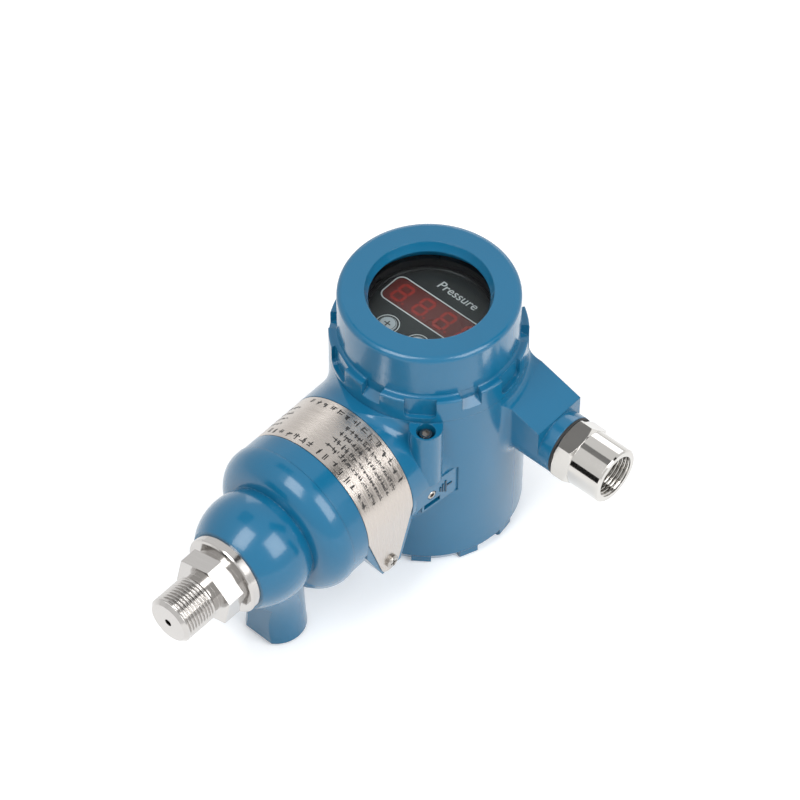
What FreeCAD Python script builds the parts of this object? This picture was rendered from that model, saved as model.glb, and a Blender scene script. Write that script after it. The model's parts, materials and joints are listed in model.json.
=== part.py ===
"""Pressure transmitter with a die-cast "hammer" housing, as a FreeCAD macro.

The frame: origin at the centre of the rear cover's flat face, +Z along the housing's barrel
towards the display, -Y along the sensor arm to the process thread, +X to the conduit entry.
"""
import FreeCAD, Part

import math
import os

import Sketcher
from FreeCAD import Placement, Rotation, Vector

# ---------------------------------------------------------------------------
# Driving dimensions (millimetres and degrees)
# ---------------------------------------------------------------------------
SIZES = [
    # housing barrel
    ("body_radius", 39.4, "outer radius of the barrel and of the front grip ring"),
    ("body_wall", 4.9, "wall beyond the compartments"),
    ("front_seam", 91.0, "height of the joint with the front cover"),
    ("rear_seam", 6.0, "height of the joint with the rear cover"),
    ("web_bottom", 44.0, "underside of the wall between the compartments"),
    ("web_thick", 5.0, "thickness of that wall"),
    ("thread_depth", 13.0, "length of each cover thread"),
    ("thread_step", 1.5, "step from the thread's bore to the compartment"),
    ("turning_gap", 0.08, "radial running clearance of a screwed cover"),
    ("seal_section", 2.6, "section of the cover O-rings"),
    ("seal_step", 1.1, "step from the thread's bore to the O-ring's bore"),
    ("seal_gap", 0.1, "clearance left round each cover O-ring"),
    # sensor arm
    ("arm_height", 58.9, "height of the arm's axis"),
    ("arm_radius", 32.0, "outer radius of the arm"),
    ("arm_seam", 79.5, "distance of the joint with the sensor head"),
    ("arm_bore", 13.0, "radius of the passage to the sensor"),
    ("arm_chamber", 22.0, "radius of the chamber before the socket"),
    ("arm_chamber_start", 47.0, "distance of that chamber"),
    ("socket_radius", 26.0, "radius of the threaded socket for the head"),
    ("head_seal", 2.0, "section of the sensor head's O-ring"),
    ("socket_depth", 14.0, "depth of that socket"),
    ("arm_blend", 6.0, "fillet between arm and barrel"),
    # label band
    ("band_front", 70.8, "front edge of the band"),
    ("band_width", 25.6, "width of the band"),
    ("band_sheet", 0.5, "sheet thickness"),
    ("band_recess", 0.6, "depth of the seat turned in the arm"),
    ("band_seat_gap", 0.05, "clearance between band and seat"),
    ("band_screw_radius", 1.5, "radius of the leg screws' shanks"),
    ("leg_tip_height", 36.4, "height of the screw in each leg"),
    ("leg_tip_radius", 5.4, "rounded end of each leg"),
    ("leg_taper_top", 56.0, "height where each leg begins to narrow"),
    # sensor head
    ("shoulder_length", 12.2, "length of the head's round shoulder"),
    ("shoulder_blend", 11.0, "rounding of the shoulder's front edge"),
    ("ball_radius", 23.7, "radius of the head's ball"),
    ("ball_centre", 101.0, "distance of the ball's centre"),
    ("seat_distance", 116.0, "distance of the flat seat for the connector"),
    ("foot_bottom", 2.0, "height of the bracket foot's underside"),
    ("foot_radius", 12.4, "radius of the foot at its underside"),
    ("foot_waist_height", 27.0, "height where the foot begins to flare"),
    ("foot_waist_radius", 12.6, "radius of the foot at that height"),
    ("foot_top_height", 45.0, "height where the foot has merged into the ball"),
    ("foot_top_radius", 16.5, "radius of the foot at that height"),
    ("foot_back", 91.0, "distance of the foot's axis at its underside"),
    ("foot_waist_back", 92.4, "distance of the foot's axis where it begins to flare"),
    ("foot_top_back", 96.5, "distance of the foot's axis at the ball"),
    ("foot_flat", 101.3, "distance of the flat on the foot's front"),
    # process connector
    ("flange_radius", 17.3, "radius of the connector's flange"),
    ("flange_thick", 4.2, "thickness of the flange"),
    ("neck_radius_small", 12.4, "radius of the neck behind the hexagon"),
    ("hex_start", 122.3, "distance of the hexagon's back face"),
    ("hex_length", 7.7, "length of the hexagon"),
    ("hex_flats", 26.0, "size across the hexagon's flats"),
    ("hex_turn", 18.0, "turn of the hexagon about the arm's axis"),
    ("process_radius", 10.0, "major radius of the M20 x 1.5 process thread"),
    ("process_end", 149.2, "distance of the connector's end face"),
    ("relief_radius", 8.6, "radius of the thread relief"),
    ("relief_length", 2.4, "length of the thread relief"),
    ("port_radius", 1.6, "radius of the pressure port"),
    ("spigot_radius", 13.0, "radius of the connector's stem in the head"),
    ("spigot_length", 16.0, "length of that stem"),
    ("stem_seal", 2.0, "section of the connector's O-ring"),
    ("capsule_radius", 9.5, "radius of the sensing cell"),
    ("capsule_length", 11.0, "length of the sensing cell"),
    # conduit entry
    ("conduit_height", 66.8, "height of the conduit's axis"),
    ("conduit_offset", 13.6, "distance of the conduit's axis behind the barrel's axis"),
    ("hub_radius", 12.8, "radius of the conduit hub"),
    ("hub_end", 61.7, "distance of the hub's end face"),
    ("hub_blend", 4.0, "fillet between the hub and the barrel"),
    ("fairing_end", 56.3, "distance of the end of the hub's fairing"),
    ("fairing_bend", 36.0, "distance where the fairing begins to slope"),
    ("fairing_top", 86.6, "height of the fairing near the barrel"),
    ("fairing_low", 80.4, "height of the fairing at its end"),
    ("entry_radius", 10.0, "major radius of the M20 x 1.5 entry thread"),
    ("entry_depth", 14.0, "depth of the entry thread in the hub"),
    ("wire_radius", 7.0, "radius of the wire passage"),
    ("gasket_thick", 1.0, "thickness of the conduit gasket"),
    ("adapter_hex", 24.0, "size across the adapter's flats"),
    ("adapter_hex_length", 8.0, "length of the adapter's hexagon"),
    ("adapter_hex_turn", 14.0, "turn of that hexagon about the conduit's axis"),
    ("adapter_radius", 11.9, "radius of the adapter's round end"),
    ("adapter_end", 85.4, "distance of the adapter's end face"),
    ("female_radius", 9.19, "minor radius of the M20 x 1.5 female thread"),
    ("female_depth", 17.0, "depth of the female thread"),
    # covers
    ("ring_height", 11.5, "height of the front grip ring"),
    ("cover_top", 124.0, "height of the front cover's face"),
    ("cover_radius", 36.0, "outer radius of the front cover above its ring"),
    ("crown_blend", 2.4, "rounding of the cover's top edge"),
    ("mouth_radius", 25.2, "radius of the window mouth at the face"),
    ("window_radius", 23.7, "radius of the window mouth at the glass"),
    ("mouth_depth", 4.3, "depth of the bevel"),
    ("ring_blend", 0.9, "rounding of the grip ring and of its root"),
    ("notch_width", 8.2, "width of the open notches in a grip ring"),
    ("notch_floor", 7.4, "depth of an open notch 1 mm beyond the rim"),
    ("notch_rise", 3.2, "rise of its floor towards the cover wall"),
    ("pocket_width", 12.4, "width of the side pockets in the grip ring"),
    ("pocket_floor", 37.3, "radius of a side pocket's floor"),
    ("pocket_depth", 9.2, "depth of a side pocket"),
    ("notch_count", 6, "open notches round a ring"),
    ("notch_angle", -23.5, "direction of the first open notch"),
    ("rear_ring_radius", 38.4, "reach of the rear cover's lugs"),
    ("rear_lugs", 12, "lugs round the rear cover"),
    ("rear_lug_width", 8.0, "width of a lug"),
    ("rear_lug_angle", -52.0, "direction of the first lug"),
    ("cover_bore", 30.0, "radius of the cavity in the front cover"),
    # window
    ("glass_radius", 28.2, "radius of the window glass"),
    ("glass_thick", 6.0, "thickness of the window glass"),
    ("glass_seal_thick", 0.8, "thickness of the seal under the bevel"),
    ("glass_gap", 0.1, "radial gap round the glass"),
    ("retainer_thick", 4.0, "thickness of the glass retaining ring"),
    ("retainer_bore", 26.4, "inner radius of the glass retaining ring"),
    # display
    ("plate_top", 107.0, "height of the display faceplate"),
    ("plate_radius", 25.2, "radius of the faceplate"),
    ("plate_thick", 1.2, "thickness of the faceplate"),
    ("bezel_radius", 28.4, "outer radius of the display bezel"),
    ("bezel_rise", 1.0, "rim of the bezel above the faceplate"),
    ("bezel_wall", 1.6, "wall of the bezel"),
    ("bezel_depth", 15.0, "height of the bezel"),
    ("display_middle", 3.2, "distance of the digits behind the display's centre"),
    ("window_length", 46.0, "length of the red window"),
    ("window_width", 13.0, "width of the red window"),
    ("window_corner", 3.0, "corner radius of the red window"),
    ("switch_width", 6.0, "width of a key switch"),
    ("switch_height", 3.5, "height of a key switch"),
    ("button_radius", 3.8, "radius of a push button"),
    ("button_gap", 0.15, "radial gap round a push button"),
    ("button_rise", 0.5, "rise of a push button above the faceplate"),
    ("button_travel", 0.4, "travel of a push button"),
    ("button_left_x", -10.2, "place of the left button"),
    ("button_right_x", 5.1, "place of the right button"),
    ("button_row", -12.9, "distance of the button row from the centre"),
    # boards
    ("board_radius", 26.0, "radius of the circuit boards"),
    ("board_thick", 1.6, "thickness of the circuit boards"),
    ("display_board_top", 96.0, "height of the display board's upper face"),
    ("main_board_top", 70.0, "height of the main board's upper face"),
    ("standoff_radius", 2.6, "radius of the board standoffs"),
    ("standoff_circle", 21.5, "distance of the standoffs from the axis"),
    ("board_screw_radius", 1.5, "radius of the board screws' shanks"),
    # rear compartment
    ("terminal_radius", 22.0, "radius of the terminal block"),
    ("terminal_thick", 12.0, "thickness of the terminal block"),
    ("terminal_screw_radius", 3.0, "radius of a terminal screw's head"),
    ("terminal_pitch", 11.0, "distance between terminal screws"),
    # cover lock and ground terminal
    ("lock_angle", -50.0, "direction of the cover-lock boss"),
    ("lock_reach", 47.8, "distance of the boss's outer face from the axis"),
    ("lock_width", 13.2, "width of the boss"),
    ("lock_bottom", 57.5, "height of the boss's lower end"),
    ("lock_drop", 0.6, "step from the boss's top to the cover joint"),
    ("lock_recess_radius", 3.8, "radius of the round recess in the boss"),
    ("lock_recess", 5.0, "depth of that recess"),
    ("lock_screw_radius", 2.0, "radius of the cover-lock screw"),
    ("lock_screw_length", 12.0, "length of that screw's shank"),
    ("lock_screw_reach", 43.2, "distance of that screw from the axis"),
    ("pad_turn", -6.6, "direction of the ground pad's face"),
    ("pad_face", 35.2, "distance of the ground pad's face"),
    ("pad_bottom", 47.0, "height of the pad's lower edge"),
    ("pad_height", 14.3, "height of the pad"),
    ("pad_front", 34.7, "distance of the pad's front edge"),
    ("pad_back", 17.2, "distance of the pad's back edge"),
    ("ground_screw_place", -29.5, "place of the ground screw along the pad"),
    ("washer_thick", 1.0, "thickness of the earth terminal's washer"),
    ("ground_screw_radius", 2.0, "radius of the ground screws' shanks"),
]


def make_sheet(doc):
    """Write the driving dimensions into a spreadsheet with one alias a row."""
    table = doc.addObject("Spreadsheet::Sheet", "Sizes")
    for row, (alias, number, note) in enumerate(SIZES, start=1):
        table.set("A%d" % row, alias)
        table.set("B%d" % row, str(number))
        table.set("C%d" % row, note)
        table.setAlias("B%d" % row, alias)
    doc.recompute()
    return table


doc = FreeCAD.newDocument("pressure_transmitter")
sheet = make_sheet(doc)
ALIASES = {alias for alias, _, _ in SIZES}


def bound(text):
    """Turn 'arm_radius + 2' into 'Sizes.arm_radius + 2'."""
    words = []
    word = ""
    for letter in str(text) + " ":
        if letter.isalnum() or letter in "_.":
            word += letter
            continue
        words.append("Sizes." + word if word in ALIASES else word)
        words.append(letter)
        word = ""
    return "".join(words).strip()


def size(text):
    """The present value of an expression in the sheet's names."""
    return float(sheet.evalExpression(bound(text)))


def drive(item, prop, text):
    """Bind one property of an object to an expression in the sheet's names."""
    item.setExpression(prop, bound(text))


# ---------------------------------------------------------------------------
# Sketches and features
# ---------------------------------------------------------------------------
def new_body(label, at=("0", "0", "0")):
    """A PartDesign body whose place is bound to the sheet."""
    body = doc.addObject("PartDesign::Body", label)
    body.Label = label
    for axis, text in zip("xyz", at):
        if text != "0":
            drive(body, "Placement.Base." + axis, text)
    return body


def new_sketch(body, role, lift="0", turn="0"):
    """A sketch on one of the body's origin planes, lifted and turned by bound amounts."""
    sketch = body.newObject("Sketcher::SketchObject", body.Name + "_sketch")
    plane = next(f for f in body.Origin.OriginFeatures if f.Role == role)
    sketch.AttachmentSupport = [(plane, "")]
    sketch.MapMode = "FlatFace"
    if lift != "0":
        drive(sketch, "AttachmentOffset.Base.z", lift)
    if turn != "0":
        upright = role != "XY_Plane"
        axis = Vector(0, 1, 0) if upright else Vector(0, 0, 1)
        sketch.AttachmentOffset = Placement(Vector(0, 0, 0), Rotation(axis, size(turn)))
        drive(sketch, "AttachmentOffset.Rotation.Angle", turn)
        if upright:
            drive(sketch, "AttachmentOffset.Base.x", "(%s) * sin(%s)" % (lift, turn))
            drive(sketch, "AttachmentOffset.Base.z", "(%s) * cos(%s)" % (lift, turn))
    return sketch


def hold_point(sketch, element, point, across, along):
    """Fix one sketch point to bound coordinates."""
    for kind, text, axis in (("DistanceX", across, -2), ("DistanceY", along, -1)):
        number = size(text)
        if text == "0":
            sketch.addConstraint(Sketcher.Constraint("PointOnObject", element, point, axis))
            continue
        index = sketch.addConstraint(
            Sketcher.Constraint(kind, -1, 1, element, point, number))
        sketch.setExpression("Constraints[%d]" % index, bound(text))


def draw_outline(sketch, corners):
    """A closed outline of straight lines through bound corners."""
    points = [Vector(size(x), size(y), 0) for x, y in corners]
    count = len(points)
    first = sketch.GeometryCount
    sketch.addGeometry([Part.LineSegment(points[i], points[(i + 1) % count])
                        for i in range(count)])
    sketch.addConstraint([
        Sketcher.Constraint("Coincident", first + i, 2, first + (i + 1) % count, 1)
        for i in range(count)])
    for i, (across, along) in enumerate(corners):
        hold_point(sketch, first + i, 1, across, along)


def draw_circle(sketch, radius, across="0", along="0"):
    """A circle with a bound radius and centre."""
    centre = Vector(size(across), size(along), 0)
    index = sketch.addGeometry(Part.Circle(centre, Vector(0, 0, 1), size(radius)))
    rule = sketch.addConstraint(Sketcher.Constraint("Radius", index, size(radius)))
    sketch.setExpression("Constraints[%d]" % rule, bound(radius))
    hold_point(sketch, index, 3, across, along)


def draw_rounded_end(sketch, root, reach, width):
    """An outline along the sketch's first axis with a half-round far end."""
    half = "(%s) / 2" % width
    middle = "%s - (%s) / 2" % (reach, width)
    corners = [(root, "-" + half), (middle, "-" + half), (middle, half), (root, half)]
    points = [Vector(size(x), size(y), 0) for x, y in corners]
    arc = Part.ArcOfCircle(
        Part.Circle(Vector(size(middle), 0, 0), Vector(0, 0, 1), size(half)),
        -math.pi / 2, math.pi / 2)
    sketch.addGeometry([
        Part.LineSegment(points[0], points[1]), arc,
        Part.LineSegment(points[2], points[3]), Part.LineSegment(points[3], points[0])])
    sketch.addConstraint([
        Sketcher.Constraint("Coincident", 0, 2, 1, 1), Sketcher.Constraint("Coincident", 1, 2, 2, 1),
        Sketcher.Constraint("Coincident", 2, 2, 3, 1), Sketcher.Constraint("Coincident", 3, 2, 0, 1)])
    for element, point, corner in ((0, 1, 0), (0, 2, 1), (2, 1, 2), (2, 2, 3)):
        hold_point(sketch, element, point, *corners[corner])
    index = sketch.addConstraint(
        Sketcher.Constraint("DistanceX", -1, 1, 1, 3, size(middle)))
    sketch.setExpression("Constraints[%d]" % index, bound(middle))


def draw_hexagon(sketch, flats):
    """A regular hexagon about the sketch's origin, one corner on its first axis."""
    corner = "(%s) / sqrt(3)" % flats
    half = "(%s) / sqrt(3) / 2" % flats
    rise = "(%s) / 2" % flats
    draw_outline(sketch, [
        (corner, "0"), (half, rise), ("-(%s)" % half, rise),
        ("-(%s)" % corner, "0"), ("-(%s)" % half, "-(%s)" % rise), (half, "-(%s)" % rise)])


def spin(body, sketch, axis="V_Axis", cut=False):
    """Revolve or groove a sketch about one of its own axes."""
    kind = "PartDesign::Groove" if cut else "PartDesign::Revolution"
    feature = body.newObject(kind, body.Name + ("_groove" if cut else "_turned"))
    feature.Profile = (sketch, [""])
    feature.ReferenceAxis = (sketch, [axis])
    feature.Angle = 360
    feature.Refine = False
    body.Tip = feature
    return feature


def push(body, sketch, length, cut=False, backwards=False, both=False):
    """Pad or pocket a sketch by a bound length."""
    kind = "PartDesign::Pocket" if cut else "PartDesign::Pad"
    feature = body.newObject(kind, body.Name + ("_pocket" if cut else "_pad"))
    feature.Profile = (sketch, [""])
    drive(feature, "Length", length)
    feature.Reversed = backwards
    if both:
        feature.SideType = "Symmetric"
    feature.Refine = False
    body.Tip = feature
    return feature


def add_cylinder(body, name, turn, radius, length, level):
    """Add a cylinder whose seam line is turned away from the blends."""
    cylinder = body.newObject("PartDesign::AdditiveCylinder", name)
    cylinder.Placement = Placement(Vector(0, 0, 0), turn)
    drive(cylinder, "Placement.Base.z", level)
    drive(cylinder, "Radius", radius)
    drive(cylinder, "Height", length)
    body.Tip = cylinder
    return cylinder


def repeat_round(body, feature, count, role="Z_Axis"):
    """Repeat a feature evenly round one of the body's axes."""
    pattern = body.newObject("PartDesign::PolarPattern", body.Name + "_pattern")
    pattern.Originals = [feature]
    axis = next(f for f in body.Origin.OriginFeatures if f.Role == role)
    pattern.Axis = (axis, [""])
    pattern.Angle = 360
    drive(pattern, "Occurrences", count)
    body.Tip = pattern
    return pattern


def edges_where(shape, test):
    """Names of the edges whose own test holds."""
    return ["Edge%d" % i for i, edge in enumerate(shape.Edges, start=1)
            if not edge.Degenerated and test(edge)]


def round_edges(body, radius, test):
    """Fillet the edges of the body's tip that pass a test."""
    doc.recompute()
    base = body.Tip
    feature = body.newObject("PartDesign::Fillet", body.Name + "_fillet")
    feature.Base = (base, edges_where(base.Shape, test))
    drive(feature, "Radius", radius)
    feature.Refine = False
    body.Tip = feature
    doc.recompute()
    return feature


def is_circle(edge, radius, tolerance=0.02):
    """True for a full circular edge of one radius."""
    curve = edge.Curve
    return (isinstance(curve, Part.Circle) and abs(curve.Radius - radius) < tolerance
            and len(edge.Vertexes) == 1)


def circle_at(radius, level):
    """A test for one full circle about the Z axis."""
    return lambda edge: is_circle(edge, radius) and abs(edge.BoundBox.ZMax - level) < 0.1


def turned_piece(label, corners, at=("0", "0", "0"), role="XZ_Plane", axis="V_Axis"):
    """A body of revolution from a bound outline."""
    body = new_body(label, at)
    sketch = new_sketch(body, role)
    draw_outline(sketch, corners)
    spin(body, sketch, axis)
    return body


def primitive(kind, label, place, turn=None, **lengths):
    """A Part primitive whose sizes and place are bound to the sheet."""
    item = doc.addObject("Part::" + kind, label)
    item.Label = label
    if turn:
        item.Placement = Placement(Vector(0, 0, 0), turn)
    for prop, text in lengths.items():
        drive(item, prop, text)
    for axis, text in zip("xyz", place):
        if text != "0":
            drive(item, "Placement.Base." + axis, text)
    return item


def joined(label, pieces, kind="Part::MultiFuse"):
    """Fuse or group several shapes under one label."""
    item = doc.addObject(kind, label)
    item.Label = label
    if kind == "Part::Compound":
        item.Links = pieces
    else:
        item.Shapes = pieces
    return item


TO_X = Rotation(Vector(0, 1, 0), 90)
TO_FRONT = Rotation(Vector(1, 0, 0), 90)
SEAM_BELOW = TO_FRONT.multiply(Rotation(Vector(0, 0, 1), -90))
SEAM_BEHIND = Rotation(Vector(0, 0, 1), 135)
SEAM_ABOVE = TO_FRONT.multiply(Rotation(Vector(0, 0, 1), 90))
NODES = []


def keep(item):
    """Add one sub-part to the list that is written."""
    NODES.append(item)
    return item


# ---------------------------------------------------------------------------
# Housing casting
# ---------------------------------------------------------------------------
THREAD_BORE = "body_radius - body_wall"
COMPARTMENT = "body_radius - body_wall - thread_step"
SEAL_BORE = "body_radius - body_wall + seal_step"
SEAL_DEPTH = "seal_section + 4 * seal_gap"
BAND_SEAT = "arm_radius - band_recess"
WEB_TOP = "web_bottom + web_thick"
HEAD_SEAL_BORE = "socket_radius + 1.2"
TERMINAL_EDGE = "terminal_radius - 4"
INNER_GROUND = "terminal_radius + 5.5"


def post_places():
    """Centres of the three board posts."""
    return [("standoff_circle * cos(%d)" % angle, "standoff_circle * sin(%d)" % angle)
            for angle in (90, 210, 330)]


def barrel_and_arm(body):
    """Barrel, sensor arm and the hollow blend between them."""
    add_cylinder(body, "barrel", SEAM_BEHIND, "body_radius",
                 "front_seam - rear_seam + 2 * arm_blend", "rear_seam")
    add_cylinder(body, "arm", SEAM_BELOW, "arm_radius", "arm_seam", "arm_height")
    meeting = size("body_radius") + 0.5
    round_edges(body, "arm_blend", lambda edge: edge.BoundBox.YMax < -5
                and edge.BoundBox.YMin > -meeting and edge.BoundBox.ZLength > 20)
    top = new_sketch(body, "XY_Plane", lift="front_seam")
    draw_circle(top, "2 * body_radius")
    push(body, top, "4 * arm_blend", cut=True, backwards=True)


def on_barrel(edge, radius):
    """True for an edge that lies on the barrel's surface."""
    return all(abs(math.hypot(point.x, point.y) - radius) < 0.01 for point in edge.discretize(9))


def conduit_hub(body):
    """Round hub for the conduit with the sloping fairing above it."""
    hub = new_sketch(body, "YZ_Plane")
    draw_circle(hub, "hub_radius", "conduit_offset", "conduit_height")
    push(body, hub, "hub_end")
    fairing = new_sketch(body, "XZ_Plane", lift="-conduit_offset")
    draw_outline(fairing, [
        ("body_radius / 2", "conduit_height"), ("fairing_end", "conduit_height"),
        ("fairing_end", "fairing_low"), ("fairing_bend", "fairing_top"),
        ("body_radius / 2", "fairing_top")])
    push(body, fairing, "2 * hub_radius", both=True)
    doc.recompute()
    barrel = size("body_radius")
    reach = size("hub_radius") + 1
    side = size("conduit_offset")
    round_edges(body, "hub_blend", lambda edge: edge.BoundBox.XMin > 0
                and abs(edge.CenterOfMass.y - side) < reach and on_barrel(edge, barrel)
                and edge.BoundBox.ZMax < size("fairing_top") + 1
                and edge.BoundBox.ZMin > size("conduit_height - hub_radius") - 1)


def lock_boss(body):
    """Upright boss beside the front joint, with the lock screw's recess and hole."""
    column = new_sketch(body, "XY_Plane", lift="lock_bottom", turn="lock_angle")
    draw_rounded_end(column, "body_radius - 4", "lock_reach", "lock_width")
    push(body, column, "front_seam - lock_bottom - lock_drop")
    recess = new_sketch(body, "XY_Plane", lift="front_seam - lock_drop", turn="lock_angle")
    draw_circle(recess, "lock_recess_radius", across="lock_screw_reach")
    push(body, recess, "lock_recess", cut=True)
    hole = new_sketch(body, "XY_Plane", lift="front_seam - lock_drop", turn="lock_angle")
    draw_circle(hole, "lock_screw_radius + 0.05", across="lock_screw_reach")
    push(body, hole, "lock_recess + lock_screw_length + 0.5", cut=True)


def ground_pad(body):
    """Flat pad for the outside earth terminal, with a slot for the wire."""
    pad = new_sketch(body, "XY_Plane", lift="pad_bottom", turn="pad_turn")
    draw_outline(pad, [
        ("body_radius / 2", "-pad_front"), ("pad_face", "-pad_front"),
        ("pad_face", "-pad_back"), ("body_radius / 2", "-pad_back")])
    push(body, pad, "pad_height")
    relief = new_sketch(body, "XY_Plane", lift="pad_bottom", turn="pad_turn")
    draw_outline(relief, [
        ("pad_face", "-pad_front - 4"), ("pad_face + 8", "-pad_front - 4"),
        ("pad_face + 8", "-pad_back + 1"), ("pad_face", "-pad_back + 1")])
    push(body, relief, "pad_height", cut=True, backwards=True)
    slot = new_sketch(body, "XY_Plane", lift="pad_bottom + 1", turn="pad_turn")
    draw_outline(slot, [
        ("pad_face - 2.4", "-pad_front + 1.2"), ("pad_face + 1", "-pad_front + 1.2"),
        ("pad_face + 1", "-pad_front + 9.5"), ("pad_face - 2.4", "-pad_front + 9.5")])
    push(body, slot, "2.6", cut=True, backwards=True)
    hole = new_sketch(body, "YZ_Plane", lift="pad_face", turn="pad_turn")
    draw_circle(hole, "ground_screw_radius + 0.05", "ground_screw_place",
                "pad_bottom + pad_height / 2")
    push(body, hole, "9", cut=True)


def band_seat(body):
    """Shallow turned seat for the label band and the flat ears behind its legs."""
    seat = new_sketch(body, "XZ_Plane", lift="band_front - band_width - 0.3")
    draw_circle(seat, "arm_radius + 1", along="arm_height")
    draw_circle(seat, BAND_SEAT, along="arm_height")
    push(body, seat, "band_width + 0.6", cut=True, backwards=True)
    ears = new_sketch(body, "YZ_Plane")
    tip = "leg_tip_height - leg_tip_radius"
    draw_outline(ears, [
        ("-band_front - 0.3", "arm_height"), ("-band_front - 0.3", "leg_taper_top - 7"),
        ("-band_front + band_width / 3", tip), ("-band_front + band_width * 0.75", tip),
        ("-band_front + band_width", "leg_taper_top - 7"), ("-band_front + band_width", "arm_height")])
    push(body, ears, "2 * (%s) - 0.2" % BAND_SEAT, both=True)
    for side in (-1, 1):
        hole = new_sketch(body, "YZ_Plane", lift="%d * (%s)" % (side, BAND_SEAT))
        draw_circle(hole, "1.55", "-band_front + band_width / 2", "leg_tip_height")
        push(body, hole, "7", cut=True, backwards=side < 0)


def housing_hollows(body):
    """Both compartments, the sensor passage and socket, and the conduit entry."""
    front = new_sketch(body, "XZ_Plane")
    floor = "web_bottom + web_thick"
    draw_outline(front, [
        ("0", floor), (COMPARTMENT, floor), (COMPARTMENT, "front_seam - thread_depth - 3"),
        (THREAD_BORE, "front_seam - thread_depth - 3"), (THREAD_BORE, "front_seam - (%s)" % SEAL_DEPTH),
        (SEAL_BORE, "front_seam - (%s)" % SEAL_DEPTH), (SEAL_BORE, "front_seam + 1"),
        ("0", "front_seam + 1")])
    spin(body, front, cut=True)
    rear = new_sketch(body, "XZ_Plane")
    draw_outline(rear, [
        ("0", "web_bottom"), (COMPARTMENT, "web_bottom"), (COMPARTMENT, "rear_seam + thread_depth + 3"),
        (THREAD_BORE, "rear_seam + thread_depth + 3"), (THREAD_BORE, "rear_seam + (%s)" % SEAL_DEPTH),
        (SEAL_BORE, "rear_seam + (%s)" % SEAL_DEPTH), (SEAL_BORE, "rear_seam - 1"),
        ("0", "rear_seam - 1")])
    spin(body, rear, cut=True)
    for lift, radius in (("body_radius / 2", "arm_bore"), ("arm_chamber_start", "arm_chamber"),
                         ("arm_seam - socket_depth", "socket_radius + 0.05")):
        bore = new_sketch(body, "XZ_Plane", lift=lift)
        draw_circle(bore, radius, along="arm_height")
        push(body, bore, "arm_seam - (%s)" % lift, cut=True, backwards=True)
    for lift, radius in (
            ("body_radius / 2", "wire_radius"), ("hub_end - entry_depth", "entry_radius + 0.05")):
        bore = new_sketch(body, "YZ_Plane", lift=lift)
        draw_circle(bore, radius, "conduit_offset", "conduit_height")
        push(body, bore, "hub_end - (%s)" % lift, cut=True, backwards=True)
    mouth = new_sketch(body, "XZ_Plane", lift="arm_seam")
    draw_circle(mouth, HEAD_SEAL_BORE, along="arm_height")
    push(body, mouth, "head_seal + 4 * seal_gap", cut=True)
    wires = new_sketch(body, "XY_Plane", lift="web_bottom")
    draw_circle(wires, "wire_radius - 2", "0", "board_radius + 1.5")
    push(body, wires, "web_thick", cut=True, backwards=True)
    posts = new_sketch(body, "XY_Plane", lift=WEB_TOP)
    for across, along in post_places():
        draw_circle(posts, "board_screw_radius + 0.05", across, along)
    push(body, posts, "web_thick - 1", cut=True)
    screws = new_sketch(body, "XY_Plane", lift="web_bottom")
    draw_circle(screws, "board_screw_radius + 0.05", "0", TERMINAL_EDGE)
    draw_circle(screws, "board_screw_radius + 0.05", "0", "-(%s)" % TERMINAL_EDGE)
    draw_circle(screws, "ground_screw_radius + 0.05", "-(%s)" % INNER_GROUND)
    push(body, screws, "web_thick - 1", cut=True, backwards=True)


def make_housing():
    """The painted die casting."""
    body = new_body("housing")
    barrel_and_arm(body)
    lock_boss(body)
    ground_pad(body)
    conduit_hub(body)
    band_seat(body)
    housing_hollows(body)
    return keep(body)



# ---------------------------------------------------------------------------
# Outlines and fasteners used more than once
# ---------------------------------------------------------------------------
def rounded_outline(length, width, radius, across="0", along="0"):
    """Corners of a rectangle with rounded corners, five points a corner."""
    corners = []
    for start, sign_x, sign_y in ((0, "+", "+"), (90, "-", "+"), (180, "-", "-"), (270, "+", "-")):
        for step in range(5):
            angle = start + 22.5 * step
            corners.append((
                "%s %s ((%s) / 2 - %s) + %s * cos(%s)" % (across, sign_x, length, radius, radius, angle),
                "%s %s ((%s) / 2 - %s) + %s * sin(%s)" % (along, sign_y, width, radius, radius, angle)))
    return corners


def turned_on_arm(label, corners):
    """A body of revolution about the arm's axis, from (distance, radius) corners."""
    outline = [("-(%s)" % distance, radius) for distance, radius in corners]
    return turned_piece(label, outline, ("0", "0", "arm_height"), "YZ_Plane", "H_Axis")


def turned_on_conduit(label, corners):
    """A body of revolution about the conduit's axis, from (distance, radius) corners."""
    place = ("0", "conduit_offset", "conduit_height")
    return turned_piece(label, corners, place, "XZ_Plane", "H_Axis")


def screw(label, place, turn, head, rise, shank, length, socket=False):
    """A screw along its own Z axis, its head standing on the local origin."""
    body = new_body(label, place)
    body.Placement = Placement(body.Placement.Base, turn)
    outline = new_sketch(body, "XZ_Plane")
    draw_outline(outline, [
        ("0", "-(%s)" % length), (shank, "-(%s)" % length), (shank, "0"), (head, "0"),
        (head, "(%s) * 0.6" % rise), ("(%s) * 0.75" % head, rise), ("0", rise)])
    spin(body, outline)
    drive_cut = new_sketch(body, "XY_Plane", lift=rise)
    if socket:
        draw_hexagon(drive_cut, "(%s) * 0.9" % head)
    else:
        draw_cross(drive_cut, "(%s) * 0.6" % head, "(%s) * 0.13" % head)
    push(body, drive_cut, "(%s) * 0.5" % rise, cut=True)
    return body


def draw_cross(sketch, reach, half):
    """The outline of a cross recess."""
    low = "-(%s)" % reach
    thin = "-(%s)" % half
    draw_outline(sketch, [
        (reach, thin), (reach, half), (half, half), (half, reach), (thin, reach), (thin, half),
        (low, half), (low, thin), (thin, thin), (thin, low), (half, low), (half, thin)])


def group(label, pieces):
    """Several identical pieces as one sub-part of separate solids."""
    return keep(joined(label, pieces, "Part::Compound"))


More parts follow.
